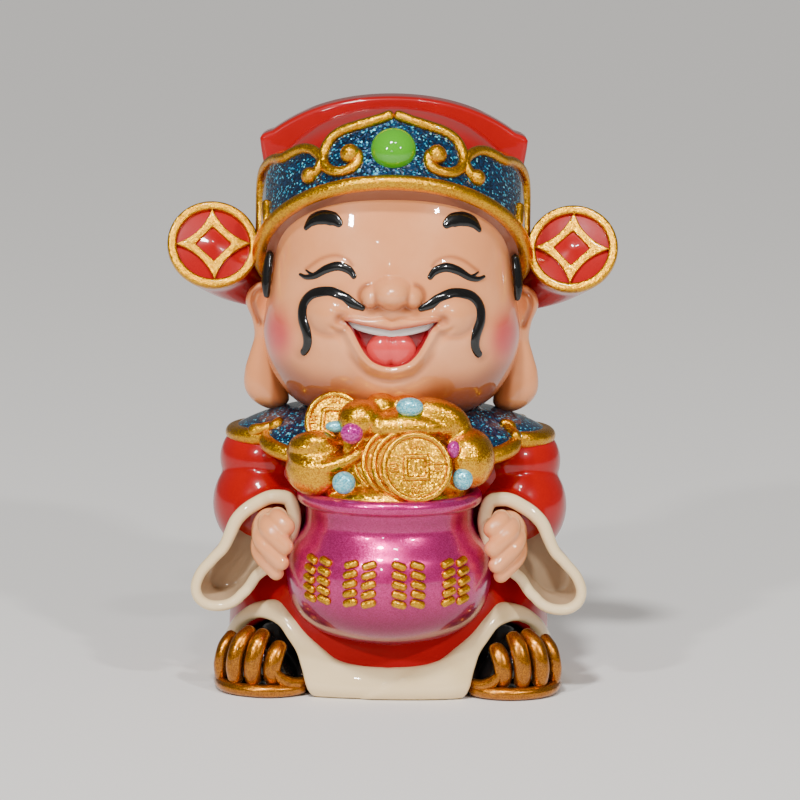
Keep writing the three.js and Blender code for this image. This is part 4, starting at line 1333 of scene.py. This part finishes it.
# The painted shade's mask, darker towards the foot and at the neck
pot_z = points_of(pot_mesh)[2]
neck_shade = 0.5 * fade(pot_z - pot_foot - 0.84 * pot_height, 1.6)
add_mask(pot_mesh, "under", np.maximum(eased((pot_foot + 13 - pot_z) / 11), neck_shade))
finished("pot", [pot_mesh], pink)

stroke_columns = [-43, -16, 11, 40]
stroke_rows = 5
stroke_foot = 0.345
stroke_pitch = 0.062
stroke_aside = 1.6
stroke_half_length = 1.35
stroke_lean = 0.3
stroke_half = 0.72
stroke_relief = 0.8


def on_pot(across, z, out=0.0):
    """A place on the belly, so far across from the pot's front."""
    radius = belly_radius(z)
    turn = across / pot_radius
    return pot_middle[0] + (radius + out) * np.sin(turn), pot_middle[1] - (radius + out) * np.cos(turn), z


def stroke(middle, z, lean):
    """A raised stroke that slants on the belly."""
    along = np.linspace(-stroke_half_length, stroke_half_length, 5)
    spots = np.column_stack(on_pot(middle + along, z + along * lean))
    turn = (middle + along) / pot_radius
    facing = np.column_stack([np.sin(turn), -np.cos(turn), np.zeros(5)])
    return strand(spots, stroke_half, stroke_relief, facing, 14, 30)


strokes = []
for column, degrees in enumerate(stroke_columns):
    middle = math.radians(degrees) * pot_radius
    lean = stroke_lean if column % 2 else -stroke_lean
    for row in range(stroke_rows):
        z = pot_foot + pot_height * (stroke_foot + stroke_pitch * row)
        strokes += [stroke(middle + side * stroke_aside, z, lean) for side in (-1, 1)]
finished("pot_strokes", strokes, gold)

# Hands. The fingers come out of each cuff and lie round the pot's side. They are soft strands and a palm in
# skin paint, grown together so that only shallow grooves part them.
palm_middle = (20.2, -18.4, 28)
palm_sizes = (3.2, 3.8, 4.1)
fingers = [
    [(18.9, -19, 31), (18.6, -22.6, 30.7), (16.2, -24.2, 28.9)],
    [(20.7, -19, 30.4), (20, -23.4, 29), (16.4, -24.8, 25.6)],
    [(21.8, -18.6, 28.8), (21.1, -22.9, 26.8), (17.1, -24.4, 22.8)],
    [(22.1, -17.8, 26.8), (21.6, -21.6, 24.6), (18, -23.3, 20.9)],
]
finger_halves = [1.75, 1.65, 1.55, 1.4]
hands = [lump(palm_middle, palm_sizes)]
for line, half in zip(fingers, finger_halves):
    halves = [half, half, half * 0.9]
    hands.append(strand(line, halves, halves, (0.6, -1, 0.3), 28, 50))
hand_skin = enamel("hand_lacquer", *skin_colours, roughness=0.34, waviness=0.14)
grown_together("hands", on_both_sides(hands), hand_skin, voxel=0.22, smoothing=5)

# Treasure. Gold ingots and coins are heaped in the pot, with cyan and magenta jewels among them. The ingots
# are strands and lumps grown together, and the coins are flat balls with looped rims and frames, and strokes.
heap_middle = np.array((*pot_middle, pot_top))
coin_radius = 5.9
coin_thickness = 1.5
coin_rim = 0.9
coin_hole = 2.2
coin_back_radius = 5
coin_stroke_reach = 3.7
coin_stroke_pitch = 0.62
coin_stroke_half_length = 0.75
coin_pitch = 1.8


def in_heap(spots):
    return np.array(spots, float) + heap_middle


def heap_lumps(rows):
    """Lumps in the heap, from rows of (middle, sizes, sides, rings)."""
    return [lump(in_heap(middle), *form) for middle, *form in rows]


def ingot(spots, halves):
    """The swooping hull of a boat-shaped ingot."""
    return strand(in_heap(spots), halves, halves, (0, -1, 0.4), 28, 60)


gold_forms = heap_lumps([
    ((0, -0.8, 1.5), (13.6, 10.4, 12.6), 96, 64),
    ((0, -0.8, -1), (13.6, 13.2, 5), 96, 64),
    ((-11.6, -5.6, 4), (6, 6, 4.9)),
    ((-12.4, -6.2, 7.8), (4.7, 4, 2.7)),
    ((-12.4, -7.2, 8.9), (3.2, 3, 1.9)),
    ((-5, -6, 12.4), (3.9, 4, 3.5)),
    ((-1.6, -3.6, 14.6), (2.7, 2.8, 2.2)),
    ((2.4, -3.2, 14.4), (2.7, 2.6, 2)),
    ((2.6, -6.2, 11.4), (7.6, 4.2, 3), 64, 48),
    ((7.6, -4.2, 11.4), (5.4, 4.6, 3.9), 64, 48),
    ((13, -5.2, 6), (4.7, 5.6, 5.2)),
])
left_hull = [(-17, -4.4, 7.2), (-15, -9.2, 5.4), (-10.8, -10.8, 4.9), (-6.6, -10.2, 6.4), (-4.4, -9, 8)]
right_hull = [(2.5, -4.6, 12.6), (6.4, -5.6, 13.4), (10.2, -5.2, 12), (12, -5, 8.6)]
gold_forms += [ingot(left_hull, [0.8, 1.1, 1.2, 1.2, 1]), ingot(right_hull, [2.6, 3, 2.9, 2.4])]
heap_golds = ((0.92, 0.48, 0.0), (0.60, 0.22, 0.0))
treasure_gold, _ = flaked("treasure_gold_flake", *heap_golds, cells=6500, tilt=0.35, roughness=0.27, coat=0.4)
grown_together("treasure", gold_forms, treasure_gold, voxel=0.3)


def coin(middle, facing, radius):
    """A coin with a raised rim, a framed square hole and rows of strokes."""
    face = coin_thickness / 2
    facing = unit(np.array(facing, float))
    up = unit(np.array((0, 0, 1)) - facing * facing[2])
    side = np.cross(facing, up)
    middle = in_heap(middle)[:, None]

    def place(across, high, out):
        return middle + side[:, None] * across + up[:, None] * high + facing[:, None] * out

    def on_coin(turn, reach, out):
        return place(reach * np.sin(turn), reach * np.cos(turn), out)

    def body(turn, height):
        reach = radius * np.sqrt(np.clip(1 - np.abs(height) ** 6, 0, 1))
        return on_coin(turn, reach, face * np.sign(height) * np.abs(height) ** 0.5)

    def rim(turn, around):
        reach = radius - coin_rim / 2 + coin_rim * 0.6 * np.cos(around)
        return on_coin(turn, reach, face + 0.55 * np.sin(around))

    def hole_frame(turn, around):
        corner = (np.abs(np.sin(turn)) ** 9 + np.abs(np.cos(turn)) ** 9) ** (-1 / 9)
        reach = corner * (coin_hole / 2 + 0.75 + 0.42 * np.cos(around))
        return on_coin(turn, reach, face + 0.45 * np.sin(around))

    meshes = [ball(72, 24, body), looped(16, 96, rim), looped(12, 64, hole_frame)]
    for quarter in range(4):
        across, high = math.sin(quarter * math.pi / 2), math.cos(quarter * math.pi / 2)
        for row in (-1, 0, 1):
            aside = row * coin_stroke_pitch
            spots = []
            for end in (-1, 0, 1):
                reach = coin_stroke_reach + end * coin_stroke_half_length
                spots.append(place(reach * across + aside * high, reach * high - aside * across, face))
            meshes.append(strand(np.hstack(spots).T, 0.22, 0.3, facing, 10, 16))
    return meshes


coin_step = np.array((-0.95, 0.62, 0.12)) * coin_pitch
coins = []
for k in range(4):
    coins += coin(np.array((4.4, -11.4, 5.2)) + coin_step * k, (0.1, -0.95, 0.3), coin_radius)
coins += coin((-9.4, -2.6, 11.6), (-0.25, -0.9, 0.35), coin_back_radius)
finished("coins", coins, treasure_gold)

gem_looks = {"cells": 5000, "tilt": 0.3, "roughness": 0.22, "metallic": 0.35}
cyans = ((0.34, 0.80, 0.88), (0.06, 0.42, 0.55))
magentas = ((0.62, 0.04, 0.36), (0.30, 0.004, 0.15))
cyan, _ = flaked("cyan_jewel", *cyans, **gem_looks)
magenta, _ = flaked("magenta_jewel", *magentas, **gem_looks)
finished("cyan_gems", heap_lumps([
    ((-7.6, -12.9, 2.8), (1.95, 1.6, 1.9)), ((12.2, -10, 3.2), (1.7, 1.6, 1.9)),
    ((3.2, -8.4, 15), (2.3, 1.5, 1.6)), ((-9.1, -6.6, 11.3), (1.8, 1.2, 1)),
]), cyan)
finished("magenta_gems", heap_lumps([
    ((-6.4, -9.6, 10.6), (1.9, 1.6, 1.8)), ((10.6, -10, 8.2), (1.1, 1.3, 1.5)),
]), magenta)

# Stage. The figure stands on a plain pale floor in soft studio light, with small lights for the glints of
# windows in its lacquer. The camera stands where the photograph was taken.
floor_half = 12
floor_colour = (0.84, 0.82, 0.79)
room_colour = (1.0, 0.97, 0.93)
floor_shape = bmesh.new()
bmesh.ops.create_grid(floor_shape, x_segments=1, y_segments=1, size=floor_half)
floor_mesh = mesh_of(floor_shape)
floor_mesh.transform(Matrix.Translation((0, 0, figure_low.z)))
floor = in_scene("floor", floor_mesh)
floor_paint = bpy.data.materials.new("pale_floor")
floor_paint.use_nodes = True
floor_shader = floor_paint.node_tree.nodes["Principled BSDF"]
floor_shader.inputs["Base Color"].default_value = (*floor_colour, 1)
floor_shader.inputs["Roughness"].default_value = 0.7
floor_mesh.materials.append(floor_paint)

world = bpy.data.worlds.new("studio")
world.use_nodes = True
sky = world.node_tree.nodes["Background"]
sky.inputs["Color"].default_value = (*room_colour, 1)
sky.inputs["Strength"].default_value = 0.2
bpy.context.scene.world = world
figure_middle = Vector((0, 0, 0.055))


def studio_light(name, place, size, power):
    """A small rectangular light that looks at the figure's middle."""
    lamp = bpy.data.lights.new(name, "AREA")
    lamp.shape = "RECTANGLE"
    lamp.size, lamp.size_y = size
    lamp.energy = power
    light = in_scene(name, lamp)
    light.location = place
    light.rotation_euler = (figure_middle - Vector(place)).to_track_quat("-Z", "Y").to_euler()


studio_light("left_window", (-0.36, -0.6, 0.42), (0.05, 0.035), 2.8)
studio_light("right_window", (0.38, -0.55, 0.46), (0.05, 0.035), 2.6)
studio_light("high_window", (0.1, -0.5, 0.75), (0.06, 0.04), 1.2)
studio_light("front_window", (-0.1, -0.72, 0.3), (0.02, 0.03), 0.35)
sun_lamp = bpy.data.lights.new("ceiling_light", "SUN")
sun_lamp.energy = 2.3
sun_lamp.angle = math.radians(6)
sun = in_scene("ceiling_light", sun_lamp)
sun.rotation_euler = (math.radians(37), 0, math.radians(-14))

camera_height = math.radians(8)
camera_distance = 0.6
camera_roll = math.radians(0.66)
camera_target = Vector((1.57 * part, figure_y, 48.2 * part))
picture_pixels = 800
focal_pixels = 3450
sensor_width = 36
camera_data = bpy.data.cameras.new("camera")
camera_data.sensor_width = sensor_width
camera_data.lens = sensor_width * focal_pixels / picture_pixels
camera_data.clip_end = 20
camera = in_scene("camera", camera_data)
back = Vector((0, -math.cos(camera_height), math.sin(camera_height)))
camera.location = camera_target + back * camera_distance
camera_turn = back.to_track_quat("Z", "Y").to_matrix() @ Matrix.Rotation(camera_roll, 3, "Z")
camera.rotation_euler = camera_turn.to_euler()
bpy.context.scene.camera = camera
